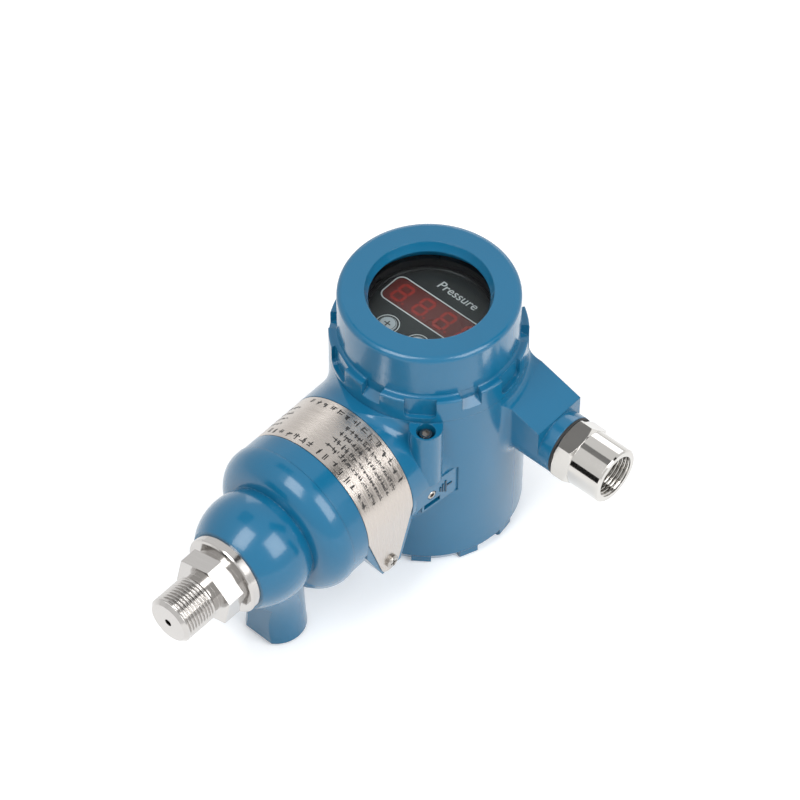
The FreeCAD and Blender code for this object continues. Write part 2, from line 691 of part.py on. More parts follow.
# ---------------------------------------------------------------------------
# Front cover with its window
# ---------------------------------------------------------------------------
RING_TOP = "front_seam + ring_height"
GLASS_TOP = "cover_top - mouth_depth - glass_seal_thick"
GLASS_BOTTOM = GLASS_TOP + " - glass_thick"
SKIRT = "body_radius - body_wall - turning_gap"
SEAL_RING = "body_radius - body_wall + seal_step - seal_gap - seal_section / 2"
GROOVE = "body_radius - body_wall + seal_step - seal_section - 2 * seal_gap"
GLASS_BORE = "glass_radius + glass_gap"


def make_front_cover():
    """Screwed cover with its grip ring, window mouth and O-ring groove."""
    body = turned_piece("front_cover", [
        ("cover_bore", "front_seam - thread_depth"), (SKIRT, "front_seam - thread_depth"),
        (SKIRT, "front_seam - (%s)" % SEAL_DEPTH), (GROOVE, "front_seam - (%s)" % SEAL_DEPTH),
        (GROOVE, "front_seam"), ("body_radius", "front_seam"), ("body_radius", RING_TOP),
        ("cover_radius", RING_TOP), ("cover_radius", "cover_top"), ("mouth_radius", "cover_top"),
        ("window_radius", "cover_top - mouth_depth"), (GLASS_BORE, "cover_top - mouth_depth"),
        (GLASS_BORE, GLASS_BOTTOM), ("cover_bore", GLASS_BOTTOM)])
    for radius, level, blend in (("cover_radius", "cover_top", "crown_blend"),
                                 ("body_radius", RING_TOP, "ring_blend"),
                                 ("cover_radius", RING_TOP, "ring_blend")):
        round_edges(body, blend, circle_at(size(radius), size(level)))
    notch = new_sketch(body, "XZ_Plane", turn="notch_angle")
    draw_outline(notch, [
        ("cover_radius - 0.2", RING_TOP + " + ring_blend"),
        ("cover_radius - 0.2", RING_TOP + " - notch_floor + notch_rise"),
        ("body_radius + 1", RING_TOP + " - notch_floor"),
        ("body_radius + 1", RING_TOP + " + ring_blend")])
    opened = push(body, notch, "notch_width", cut=True, both=True)
    repeat_round(body, opened, "notch_count")
    pocket = new_sketch(body, "YZ_Plane", lift="pocket_floor", turn="notch_angle - 180 / notch_count")
    side = "pocket_width / 2"
    low = RING_TOP + " - pocket_depth"
    draw_outline(pocket, [
        ("-" + side, RING_TOP), ("-" + side, low + " + 1.8"), ("-%s + 0.6" % side, low + " + 0.6"),
        ("-%s + 1.8" % side, low), (side + " - 1.8", low), (side + " - 0.6", low + " + 0.6"),
        (side, low + " + 1.8"), (side, RING_TOP)])
    hollowed = push(body, pocket, "body_radius - pocket_floor + 1", cut=True, backwards=True)
    repeat_round(body, hollowed, "notch_count")
    return keep(body)


def make_window():
    """Glass, the seal above it, the ring that holds it and the cover's O-ring."""
    keep(primitive("Cylinder", "window_glass", ("0", "0", GLASS_BOTTOM),
                   Radius="glass_radius", Height="glass_thick"))
    keep(turned_piece("glass_seal", [
        ("window_radius + 0.9", GLASS_TOP), ("glass_radius", GLASS_TOP),
        ("glass_radius", "cover_top - mouth_depth"),
        ("window_radius + 0.9", "cover_top - mouth_depth")]))
    ring = turned_piece("glass_retaining_ring", [
        ("retainer_bore", GLASS_BOTTOM + " - retainer_thick"),
        ("cover_bore - glass_gap", GLASS_BOTTOM + " - retainer_thick"),
        ("cover_bore - glass_gap", GLASS_BOTTOM), ("retainer_bore", GLASS_BOTTOM)])
    slot = new_sketch(ring, "XY_Plane", lift=GLASS_BOTTOM + " - retainer_thick")
    draw_outline(slot, [("-cover_bore - 1", "-1.5"), ("cover_bore + 1", "-1.5"),
                        ("cover_bore + 1", "1.5"), ("-cover_bore - 1", "1.5")])
    push(ring, slot, "retainer_thick * 0.4", cut=True, backwards=True)
    keep(ring)
    keep(primitive("Torus", "front_cover_oring", ("0", "0", "front_seam - (%s) / 2" % SEAL_DEPTH),
                   Radius1=SEAL_RING, Radius2="seal_section / 2"))


def make_rear_cover():
    """Screwed blind cover with its lugs, and its O-ring."""
    body = turned_piece("rear_cover", [
        ("0", "0"), ("cover_radius", "0"), ("body_radius", "rear_seam"), (GROOVE, "rear_seam"),
        (GROOVE, "rear_seam + (%s)" % SEAL_DEPTH), (SKIRT, "rear_seam + (%s)" % SEAL_DEPTH),
        (SKIRT, "rear_seam + thread_depth"), ("cover_bore", "rear_seam + thread_depth"),
        ("cover_bore", "rear_seam - 2"), ("0", "rear_seam - 2")])
    lug = new_sketch(body, "XZ_Plane", turn="rear_lug_angle")
    draw_outline(lug, [
        ("cover_bore + 2", "0"), ("rear_ring_radius - 1.2", "0"), ("rear_ring_radius", "1.2"),
        ("rear_ring_radius", "rear_seam - 1"), ("cover_bore + 2", "rear_seam - 1")])
    raised = push(body, lug, "rear_lug_width", both=True)
    repeat_round(body, raised, "rear_lugs")
    keep(body)
    keep(primitive("Torus", "rear_cover_oring", ("0", "0", "rear_seam + (%s) / 2" % SEAL_DEPTH),
                   Radius1=SEAL_RING, Radius2="seal_section / 2"))


# ---------------------------------------------------------------------------
# Display and its electronics
# ---------------------------------------------------------------------------
PLATE_UNDER = "plate_top - plate_thick"
BUTTON_PLACES = (("left", "button_left_x"), ("right", "button_right_x"))


def make_bezel():
    """Dark rounded ring that carries the faceplate."""
    low = "plate_top + bezel_rise - bezel_depth"
    bore = "plate_radius + 0.1"
    inner = "bezel_radius - bezel_wall"
    ledge = "plate_radius - 1.5"
    keep(turned_piece("display_bezel", [
        (inner, low), ("bezel_radius", low), ("bezel_radius", "plate_top - 0.6"),
        ("bezel_radius - 0.3", "plate_top + bezel_rise * 0.45"),
        ("bezel_radius - 0.9", "plate_top + bezel_rise * 0.85"),
        ("bezel_radius - 1.7", "plate_top + bezel_rise"), (bore + " + 0.5", "plate_top + bezel_rise * 0.8"),
        (bore, "plate_top + bezel_rise * 0.4"), (bore, PLATE_UNDER), (ledge, PLATE_UNDER),
        (ledge, PLATE_UNDER + " - 1.2"), (inner, PLATE_UNDER + " - 1.2")]))


def make_faceplate():
    """Faceplate with its window opening and button holes, and the red window."""
    plate = new_body("display_faceplate")
    outline = new_sketch(plate, "XY_Plane", lift=PLATE_UNDER)
    draw_circle(outline, "plate_radius")
    draw_outline(outline, rounded_outline("window_length", "window_width", "window_corner",
                                          "0", "display_middle"))
    for _, place in BUTTON_PLACES:
        draw_circle(outline, "button_radius + button_gap", place, "button_row")
    push(plate, outline, "plate_thick")
    keep(plate)
    window = new_body("display_window")
    outline = new_sketch(window, "XY_Plane", lift=PLATE_UNDER)
    draw_outline(outline, rounded_outline("window_length - 0.1", "window_width - 0.1",
                                          "window_corner", "0", "display_middle"))
    push(window, outline, "plate_thick - 0.1")
    keep(window)


def make_digits():
    """Four-digit display module that stands on the display board."""
    block = new_body("digit_block")
    outline = new_sketch(block, "XY_Plane", lift="display_board_top")
    draw_outline(outline, rounded_outline("window_length - 3", "window_width - 1.4", "1",
                                          "0", "display_middle"))
    push(block, outline, "%s - 0.2 - display_board_top" % PLATE_UNDER)
    keep(block)


SWITCH_TOP = "display_board_top + switch_height + 0.8"


def make_buttons():
    """Two push buttons and the key switches under them."""
    switches = []
    for side, place in BUTTON_PLACES:
        keep(turned_piece("button_" + side, [
            ("0", SWITCH_TOP + " + button_travel + 0.05"),
            ("switch_width / 4", SWITCH_TOP + " + button_travel + 0.05"),
            ("switch_width / 4", PLATE_UNDER + " - 1.4"),
            ("button_radius + 0.8", PLATE_UNDER + " - 1.4"),
            ("button_radius + 0.8", PLATE_UNDER + " - 0.05"), ("button_radius", PLATE_UNDER + " - 0.05"),
            ("button_radius", "plate_top + button_rise - 0.3"),
            ("button_radius - 0.3", "plate_top + button_rise"), ("0", "plate_top + button_rise")],
            (place, "button_row", "0")))
        base = primitive("Box", "switch_base_" + side, (
            place + " - switch_width / 2", "button_row - switch_width / 2", "display_board_top"),
            Length="switch_width", Width="switch_width", Height="switch_height")
        plunger = primitive("Cylinder", "switch_plunger_" + side, (
            place, "button_row", "display_board_top"),
            Radius="switch_width / 4", Height="%s - display_board_top" % SWITCH_TOP)
        switches.append(joined("key_switch_" + side, [base, plunger]))
    group("key_switches", switches)


def make_board(label, top):
    """A round circuit board with holes for its posts."""
    board = new_body(label)
    outline = new_sketch(board, "XY_Plane", lift=top + " - board_thick")
    draw_circle(outline, "board_radius")
    for across, along in post_places():
        draw_circle(outline, "board_screw_radius + 0.1", across, along)
    push(board, outline, "board_thick")
    keep(board)


def make_posts():
    """Posts below and between the boards and the screws on top."""
    bore = "board_screw_radius + 0.05"
    low_top = "main_board_top - board_thick"
    high_top = "display_board_top - board_thick"
    lower = []
    upper = []
    screws = []
    for index, (across, along) in enumerate(post_places()):
        place = (across, along, "0")
        lower.append(turned_piece("lower_post%d" % index, [
            ("0", WEB_TOP + " - web_thick + 1.2"), ("board_screw_radius", WEB_TOP + " - web_thick + 1.2"),
            ("board_screw_radius", WEB_TOP), ("standoff_radius", WEB_TOP), ("standoff_radius", low_top),
            (bore, low_top), (bore, low_top + " - 6"), ("0", low_top + " - 6")], place))
        upper.append(turned_piece("upper_post%d" % index, [
            ("0", low_top + " - 5.5"), ("board_screw_radius", low_top + " - 5.5"),
            ("board_screw_radius", "main_board_top"), ("standoff_radius", "main_board_top"),
            ("standoff_radius", high_top), (bore, high_top), (bore, high_top + " - 6"),
            ("0", high_top + " - 6")], place))
        screws.append(screw("board_screw%d" % index, (across, along, "display_board_top"), Rotation(),
                            "board_screw_radius * 1.8", "1.8", "board_screw_radius", "6"))
    group("lower_standoffs", lower)
    group("upper_standoffs", upper)
    group("board_screws", screws)


def make_terminals():
    """Terminal block in the rear compartment with its screws."""
    block = new_body("terminal_block")
    outline = new_sketch(block, "XY_Plane", lift="web_bottom - terminal_thick")
    draw_circle(outline, "terminal_radius")
    push(block, outline, "terminal_thick")
    seats = new_sketch(block, "XY_Plane", lift="web_bottom - terminal_thick")
    holes = new_sketch(block, "XY_Plane", lift="web_bottom - terminal_thick + 4")
    for sign in ("", "-"):
        draw_circle(seats, "board_screw_radius * 1.8 + 0.2", "0", "%s(%s)" % (sign, TERMINAL_EDGE))
        draw_circle(holes, "board_screw_radius + 0.1", "0", "%s(%s)" % (sign, TERMINAL_EDGE))
    for step in ("-", "0 * ", ""):
        draw_circle(seats, "terminal_screw_radius + 0.2", step + "terminal_pitch")
        draw_circle(holes, "terminal_screw_radius * 0.5 + 0.1", step + "terminal_pitch")
    push(block, seats, "4", cut=True, backwards=True)
    push(block, holes, "terminal_thick - 4", cut=True, backwards=True)
    wires = new_sketch(block, "XZ_Plane")
    for step in ("-", "0 * ", ""):
        draw_circle(wires, "2", step + "terminal_pitch", "web_bottom - terminal_thick + 8")
    push(block, wires, "terminal_radius + 1", cut=True)
    keep(block)
    flip = Rotation(Vector(1, 0, 0), 180)
    head = "web_bottom - terminal_thick + 4"
    group("terminal_screws", [
        screw("terminal_screw%d" % index, (step + "terminal_pitch", "0", head), flip,
              "terminal_screw_radius", "2.6", "terminal_screw_radius * 0.5", "terminal_thick - 5")
        for index, step in enumerate(("-", "0 * ", ""))])
    group("terminal_block_screws", [
        screw("block_screw%d" % index, ("0", "%s(%s)" % (sign, TERMINAL_EDGE), head), flip,
              "board_screw_radius * 1.8", "1.8", "board_screw_radius",
              "terminal_thick - 4 + web_thick - 1.2")
        for index, sign in enumerate(("", "-"))])
    keep(screw("inner_ground_screw", ("-(%s)" % INNER_GROUND, "0", "web_bottom"), flip,
               "ground_screw_radius * 1.8", "2.6", "ground_screw_radius", "web_thick - 1.2"))


# ---------------------------------------------------------------------------
# Outside fasteners and the label band
# ---------------------------------------------------------------------------
def make_lock_and_ground():
    """Cover-lock screw, and the earth terminal's screw and washer."""
    angle = "lock_angle"
    keep(screw("cover_lock_screw", (
        "lock_screw_reach * cos(%s)" % angle, "lock_screw_reach * sin(%s)" % angle,
        "front_seam - lock_drop - lock_recess"), Rotation(),
        "lock_screw_radius * 1.6", "lock_recess * 0.75", "lock_screw_radius",
        "lock_screw_length", socket=True))
    turn = Rotation(Vector(0, 0, 1), size("pad_turn")).multiply(TO_X)
    level = "pad_bottom + pad_height / 2"

    def on_pad(out):
        """A point over the ground screw, a little way out from the pad."""
        reach = "(pad_face + %s)" % out
        return ("%s * cos(pad_turn) - ground_screw_place * sin(pad_turn)" % reach,
                "%s * sin(pad_turn) + ground_screw_place * cos(pad_turn)" % reach, level)

    washer = new_body("ground_washer", on_pad("0"))
    washer.Placement = Placement(washer.Placement.Base, turn)
    outline = new_sketch(washer, "XY_Plane")
    draw_circle(outline, "ground_screw_radius * 2.1")
    draw_circle(outline, "ground_screw_radius + 0.2")
    push(washer, outline, "washer_thick")
    keep(washer)
    keep(screw("ground_screw", on_pad("washer_thick"), turn, "ground_screw_radius * 1.8", "2.6",
               "ground_screw_radius", "9"))


def make_band():
    """Stainless label band over the arm, bent to two legs, with a screw in each."""
    band = new_body("label_band")
    profile = new_sketch(band, "XZ_Plane", lift="band_front - band_width")
    inner = "band_seat_gap + arm_radius - band_recess"
    outer = inner + " + band_sheet"
    foot = "leg_tip_height - leg_tip_radius - 1"
    draw_arch(profile, inner, outer, "arm_height", foot)
    push(band, profile, "band_width")
    trim = new_sketch(band, "YZ_Plane")
    middle = "-band_front + band_width / 2"
    tip = [("%s - leg_tip_radius * cos(%d)" % (middle, angle),
            "leg_tip_height - leg_tip_radius * sin(%d)" % angle) for angle in range(15, 180, 15)]
    draw_outline(trim, [
        ("-band_front - 1", "arm_height"), ("-band_front", "arm_height")] + tip + [
        ("-band_front + band_width", "arm_height"), ("-band_front + band_width + 1", "arm_height"),
        ("-band_front + band_width + 1", foot + " - 1"), ("-band_front - 1", foot + " - 1")])
    push(band, trim, "4 * arm_radius", cut=True, both=True)
    holes = new_sketch(band, "YZ_Plane")
    draw_circle(holes, "band_screw_radius + 0.1", middle, "leg_tip_height")
    push(band, holes, "4 * arm_radius", cut=True, both=True)
    keep(band)
    place = "arm_radius - band_recess + band_seat_gap + band_sheet"
    group("band_screws", [
        screw("band_screw%d" % index, (sign + "(%s)" % place, middle, "leg_tip_height"),
              Rotation(Vector(0, 1, 0), turn), "band_screw_radius * 1.9", "1.6",
              "band_screw_radius", "6")
        for index, (sign, turn) in enumerate((("", 90), ("-", -90)))])


def draw_arch(sketch, inner, outer, middle, foot):
    """The outline of a sheet bent over a half circle with two straight legs."""
    geometry = []
    for radius in (inner, outer):
        circle = Part.Circle(Vector(0, size(middle), 0), Vector(0, 0, 1), size(radius))
        geometry.append(Part.ArcOfCircle(circle, 0, math.pi))
    corners = []
    for sign in ("", "-"):
        corners.append([("%s(%s)" % (sign, radius), level)
                        for radius, level in ((inner, middle), (inner, foot), (outer, foot), (outer, middle))])
    for leg in corners:
        points = [Vector(size(x), size(y), 0) for x, y in leg]
        geometry += [Part.LineSegment(points[i], points[i + 1]) for i in range(3)]
    sketch.addGeometry(geometry)
    for leg, first in zip(corners, (2, 5)):
        for step in range(2):
            sketch.addConstraint(
                Sketcher.Constraint("Coincident", first + step, 2, first + step + 1, 1))
        for step in range(3):
            hold_point(sketch, first + step, 1, *leg[step])
        hold_point(sketch, first + 2, 2, *leg[3])
    for arc, (line, point) in ((0, (2, 1)), (1, (4, 2))):
        sketch.addConstraint(Sketcher.Constraint("Coincident", arc, 1, line, point))
    for arc, (line, point) in ((0, (5, 1)), (1, (7, 2))):
        sketch.addConstraint(Sketcher.Constraint("Coincident", arc, 2, line, point))
    for arc in (0, 1):
        index = sketch.addConstraint(
            Sketcher.Constraint("DistanceY", -1, 1, arc, 3, size(middle)))
        sketch.setExpression("Constraints[%d]" % index, bound(middle))


# ---------------------------------------------------------------------------
# Conduit adapter
# ---------------------------------------------------------------------------
def make_conduit():
    """Gasket and hexagonal adapter screwed into the hub."""
    start = "hub_end + gasket_thick"
    keep(turned_on_conduit("conduit_gasket", [
        ("hub_end", "entry_radius + 0.1"), ("hub_end", "hub_radius - 0.2"),
        (start, "hub_radius - 0.2"), (start, "entry_radius + 0.1")]))
    body = turned_on_conduit("conduit_adapter", [
        ("hub_end - entry_depth + 0.5", "wire_radius"), ("hub_end - entry_depth + 0.5", "entry_radius"),
        (start, "entry_radius"), (start, "adapter_hex / 2"),
        (start + " + adapter_hex_length", "adapter_hex / 2"),
        (start + " + adapter_hex_length", "adapter_radius"), ("adapter_end - 0.6", "adapter_radius"),
        ("adapter_end", "adapter_radius - 0.6"), ("adapter_end", "female_radius"),
        ("adapter_end - female_depth", "female_radius"), ("adapter_end - female_depth", "wire_radius")])
    hexagon = new_sketch(body, "YZ_Plane", lift=start)
    hexagon.AttachmentOffset = Placement(Vector(0, 0, 0), Rotation(Vector(0, 0, 1), 1))
    drive(hexagon, "AttachmentOffset.Rotation.Angle", "adapter_hex_turn")
    drive(hexagon, "AttachmentOffset.Base.z", start)
    draw_hexagon(hexagon, "adapter_hex")
    draw_circle(hexagon, "adapter_hex / 2 - 1")
    push(body, hexagon, "adapter_hex_length")
    trim_corners(body, "XZ_Plane", start, start + " + adapter_hex_length", "adapter_hex")
    keep(body)


def trim_corners(body, role, near, far, flats):
    """Turn the usual chamfer on both ends of a hexagon whose axis is the sketch's first axis."""
    corner = "(%s) / sqrt(3)" % flats
    edge = "(%s) / 2" % flats
    sloped = new_sketch(body, role)
    run = "(%s - %s) * 0.58" % (corner, edge)
    for face, inward in ((near, "+"), (far, "-")):
        draw_outline(sloped, [
            (face, edge),
            ("%s %s %s * 1.8" % (face, inward, run), "%s + (%s - %s) * 1.8" % (edge, corner, edge)),
            (face, "%s + (%s - %s) * 1.8" % (edge, corner, edge))])
    return spin(body, sloped, "H_Axis", cut=True)


# ---------------------------------------------------------------------------
# Sensor head and process connector
# ---------------------------------------------------------------------------
SEAL_SEAT = "socket_radius + 1.2 - head_seal - 2 * seal_gap"


def make_head():
    """Cast head: screwed spigot, round shoulder, ball, bracket foot and connector seat."""
    body = turned_on_arm("sensor_head", [
        ("arm_seam - socket_depth + 0.5", "arm_chamber - 2"),
        ("arm_seam - socket_depth + 0.5", "socket_radius"),
        ("arm_seam - head_seal - 4 * seal_gap", "socket_radius"),
        ("arm_seam - head_seal - 4 * seal_gap", SEAL_SEAT), ("arm_seam", SEAL_SEAT),
        ("arm_seam", "arm_radius + 0.4"), ("arm_seam + shoulder_length", "arm_radius + 0.4"),
        ("arm_seam + shoulder_length", "0"), ("arm_seam + 5", "0"), ("arm_seam + 5", "arm_chamber - 2")])
    rim = size("arm_radius + 0.4")
    front = -size("arm_seam + shoulder_length")
    round_edges(body, "shoulder_blend", lambda edge: is_circle(edge, rim)
                and abs(edge.CenterOfMass.y - front) < 0.1)
    ball = body.newObject("PartDesign::AdditiveSphere", "ball")
    ball.Placement = Placement(Vector(0, 0, 0), SEAM_ABOVE)
    drive(ball, "Placement.Base.y", "-ball_centre")
    drive(ball, "Radius", "ball_radius")
    body.Tip = ball
    sections = []
    for level, radius, back in (("foot_bottom", "foot_radius", "foot_back"),
                                ("foot_waist_height", "foot_waist_radius", "foot_waist_back"),
                                ("foot_top_height", "foot_top_radius", "foot_top_back")):
        ring = new_sketch(body, "XY_Plane", lift=level + " - arm_height")
        draw_circle(ring, radius, "0", "-" + back)
        sections.append(ring)
    foot = body.newObject("PartDesign::AdditiveLoft", "foot")
    foot.Profile = (sections[0], [""])
    foot.Sections = [(ring, [""]) for ring in sections[1:]]
    foot.Refine = False
    body.Tip = foot
    flat = new_sketch(body, "YZ_Plane")
    draw_outline(flat, [
        ("-foot_flat", "foot_bottom - arm_height - 1"), ("-foot_flat", "foot_waist_height - 3 - arm_height"),
        ("-foot_flat - 5", "foot_waist_height + 3 - arm_height"),
        ("-seat_distance", "foot_waist_height + 3 - arm_height"),
        ("-seat_distance", "foot_bottom - arm_height - 1")])
    push(body, flat, "3 * foot_radius", cut=True, both=True)
    seat = new_sketch(body, "XZ_Plane", lift="seat_distance")
    draw_circle(seat, "ball_radius")
    push(body, seat, "ball_radius", cut=True, backwards=True)
    bore = new_sketch(body, "XZ_Plane", lift="seat_distance")
    draw_circle(bore, "spigot_radius + 0.05")
    push(body, bore, "seat_distance - arm_seam - 4", cut=True)
    keep(body)
    keep(primitive(
        "Torus", "sensor_head_oring", ("0", "-arm_seam + head_seal / 2 + 2 * seal_gap", "arm_height"),
        TO_FRONT, Radius1="socket_radius + 1.2 - seal_gap - head_seal / 2", Radius2="head_seal / 2"))


def make_connector():
    """Steel process connector with its stem, O-ring and sensing cell."""
    stem = "seat_distance - spigot_length"
    groove = "seat_distance - 6"
    floor = "spigot_radius + 0.05 - stem_seal - 2 * seal_gap"
    body = turned_on_arm("process_connector", [
        (stem, "port_radius"), (stem, "spigot_radius"), (groove, "spigot_radius"), (groove, floor),
        (groove + " + stem_seal + 4 * seal_gap", floor),
        (groove + " + stem_seal + 4 * seal_gap", "spigot_radius"),
        ("seat_distance", "spigot_radius"), ("seat_distance", "flange_radius"),
        ("seat_distance + flange_thick * 0.79", "flange_radius"),
        ("seat_distance + flange_thick * 0.93", "flange_radius - 0.4"),
        ("seat_distance + flange_thick", "flange_radius - 1.3"),
        ("seat_distance + flange_thick", "neck_radius_small"), ("hex_start", "neck_radius_small"),
        ("hex_start + hex_length", "neck_radius_small"), ("hex_start + hex_length", "relief_radius"),
        ("hex_start + hex_length + relief_length", "relief_radius"),
        ("hex_start + hex_length + relief_length + 1.2", "process_radius"),
        ("process_end - 1.4", "process_radius"), ("process_end", "process_radius - 1.4"),
        ("process_end", "port_radius")])
    hexagon = new_sketch(body, "XZ_Plane")
    hexagon.AttachmentOffset = Placement(Vector(0, 0, 0), Rotation(Vector(0, 0, 1), 1))
    drive(hexagon, "AttachmentOffset.Rotation.Angle", "hex_turn")
    drive(hexagon, "AttachmentOffset.Base.z", "hex_start")
    draw_hexagon(hexagon, "hex_flats")
    draw_circle(hexagon, "neck_radius_small - 2")
    push(body, hexagon, "hex_length")
    trim_corners(body, "YZ_Plane", "-hex_start", "-hex_start - hex_length", "hex_flats")
    keep(body)
    keep(primitive("Torus", "connector_seal", (
        "0", "-(%s) - stem_seal / 2 - 2 * seal_gap" % groove, "arm_height"), TO_FRONT,
        Radius1="spigot_radius + 0.05 - seal_gap - stem_seal / 2", Radius2="stem_seal / 2"))
    keep(primitive("Cylinder", "sensor_capsule", (
        "0", "-(%s) + capsule_length" % stem, "arm_height"), TO_FRONT,
        Radius="capsule_radius", Height="capsule_length"))


# ---------------------------------------------------------------------------
# Build, check and write every sub-part
# ---------------------------------------------------------------------------
make_housing()
make_front_cover()
make_window()
make_rear_cover()
make_bezel()
make_faceplate()
make_digits()
make_buttons()
make_board("display_board", "display_board_top")
make_board("main_board", "main_board_top")
make_posts()
make_terminals()
make_lock_and_ground()
make_band()
make_conduit()
make_head()
make_connector()
doc.recompute()

for item in doc.Objects:
    if "Invalid" in item.State or "Error" in item.State:
        raise RuntimeError("%s did not build: %s" % (item.Name, item.State))

os.makedirs("parts", exist_ok=True)
for item in NODES:
    if item.Shape.isNull() or not item.Shape.isValid():
        raise RuntimeError("%s has no valid shape" % item.Label)
    item.Shape.exportStep("parts/%s.step" % item.Label)
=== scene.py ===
import json
import math
import random

import bmesh
import bpy
from mathutils import Matrix, Vector


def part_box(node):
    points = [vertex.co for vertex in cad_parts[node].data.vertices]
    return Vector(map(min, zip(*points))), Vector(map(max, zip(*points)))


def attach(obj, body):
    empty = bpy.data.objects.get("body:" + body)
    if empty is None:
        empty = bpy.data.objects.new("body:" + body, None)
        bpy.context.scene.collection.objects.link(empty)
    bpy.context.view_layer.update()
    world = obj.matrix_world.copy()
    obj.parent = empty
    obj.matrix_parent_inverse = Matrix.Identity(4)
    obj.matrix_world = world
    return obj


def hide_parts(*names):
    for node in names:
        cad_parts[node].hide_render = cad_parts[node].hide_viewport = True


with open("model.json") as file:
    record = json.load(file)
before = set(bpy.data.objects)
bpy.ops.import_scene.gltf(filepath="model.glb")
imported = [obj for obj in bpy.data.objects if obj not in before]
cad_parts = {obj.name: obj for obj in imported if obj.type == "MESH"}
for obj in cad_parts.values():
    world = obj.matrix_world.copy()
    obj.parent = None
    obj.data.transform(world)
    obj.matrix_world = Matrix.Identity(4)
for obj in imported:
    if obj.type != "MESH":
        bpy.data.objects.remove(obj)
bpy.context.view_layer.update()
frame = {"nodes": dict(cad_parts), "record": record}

MM = 0.001
nodes = frame["nodes"]

# ---------------------------------------------------------------------------
# Materials
# ---------------------------------------------------------------------------
NOISE_DETAIL = 3.0
NOISE_LOW, NOISE_HIGH = 0.3, 0.7
# the sockets of Blender's Mix node when it blends colours
MIX_FACTOR, MIX_FIRST, MIX_SECOND, MIX_RESULT = 0, 6, 7, 2
COAT_ROUGHNESS = 0.08
BEVEL_SAMPLES = 4
BUMP_HEIGHT = 0.0002
BUMP_FINENESS = 12
GLASS_TINT = (0.93, 0.96, 0.96, 1)
GLASS_IOR = 1.16
GLASS_ROUGHNESS, GLASS_SMEAR = 0.01, 0.03
GLASS_GRAIN = 20.0
WHITE = (1, 1, 1, 1)


def tree_of(name):
    """A new node material with its tree and its Principled shader."""
    material = bpy.data.materials.new(name)
    material.use_nodes = True
    tree = material.node_tree
    shader = next(n for n in tree.nodes if n.type == "BSDF_PRINCIPLED")
    return material, tree, shader


def noise(tree, scale, stretch=(1, 1, 1)):
    """Noise in object space, drawn out along an axis if asked."""
    place = tree.nodes.new("ShaderNodeTexCoord")
    mapping = tree.nodes.new("ShaderNodeMapping")
    mapping.inputs["Scale"].default_value = stretch
    texture = tree.nodes.new("ShaderNodeTexNoise")
    texture.inputs["Scale"].default_value = scale
    texture.inputs["Detail"].default_value = NOISE_DETAIL
    tree.links.new(place.outputs["Object"], mapping.inputs["Vector"])
    tree.links.new(mapping.outputs["Vector"], texture.inputs["Vector"])
    return texture.outputs["Fac"]


def spread(tree, value, start, end, low, high):
    """Map a value from one range to another."""
    node = tree.nodes.new("ShaderNodeMapRange")
    node.inputs["From Min"].default_value = start
    node.inputs["From Max"].default_value = end
    node.inputs["To Min"].default_value = low
    node.inputs["To Max"].default_value = high
    tree.links.new(value, node.inputs["Value"])
    return node.outputs["Result"]


def mixed(tree, value, low, high):
    """Blend two colours by a value."""
    node = tree.nodes.new("ShaderNodeMix")
    node.data_type = "RGBA"
    node.inputs[MIX_FIRST].default_value = (*low, 1)
    node.inputs[MIX_SECOND].default_value = (*high, 1)
    tree.links.new(value, node.inputs[MIX_FACTOR])
    return node.outputs[MIX_RESULT]


def finish(name, colour, rough, metal=0.0, coat=0.0, vary=0.06, scale=60.0, stretch=(1, 1, 1),
           bump=0.0, edge=0.0, rough_vary=0.15, emit=0.0, specular=0.5):
    """One procedural finish: varied colour and roughness, slight bump, softened edges."""
    material, tree, shader = tree_of(name)
    grain = noise(tree, scale, stretch)
    darker = [c * (1 - vary) for c in colour]
    lighter = [c * (1 + vary) for c in colour]
    tint = mixed(tree, grain, darker, lighter)
    tree.links.new(tint, shader.inputs["Base Color"])
    gloss = spread(tree, grain, NOISE_LOW, NOISE_HIGH,
                   rough * (1 - rough_vary), rough * (1 + rough_vary))
    tree.links.new(gloss, shader.inputs["Roughness"])
    shader.inputs["Metallic"].default_value = metal
    shader.inputs["Specular IOR Level"].default_value = specular
    shader.inputs["Coat Weight"].default_value = coat
    shader.inputs["Coat Roughness"].default_value = COAT_ROUGHNESS
    normal = None
    if edge:
        soft = tree.nodes.new("ShaderNodeBevel")
        soft.samples = BEVEL_SAMPLES
        soft.inputs["Radius"].default_value = edge
        normal = soft.outputs["Normal"]
    if bump:
        relief = tree.nodes.new("ShaderNodeBump")
        relief.inputs["Strength"].default_value = bump
        relief.inputs["Distance"].default_value = BUMP_HEIGHT
        fine = noise(tree, scale * BUMP_FINENESS, stretch)
        tree.links.new(fine, relief.inputs["Height"])
        if normal:
            tree.links.new(normal, relief.inputs["Normal"])
        normal = relief.outputs["Normal"]
    if normal:
        tree.links.new(normal, shader.inputs["Normal"])
    if emit:
        tree.links.new(tint, shader.inputs["Emission Color"])
        shader.inputs["Emission Strength"].default_value = emit
    return material


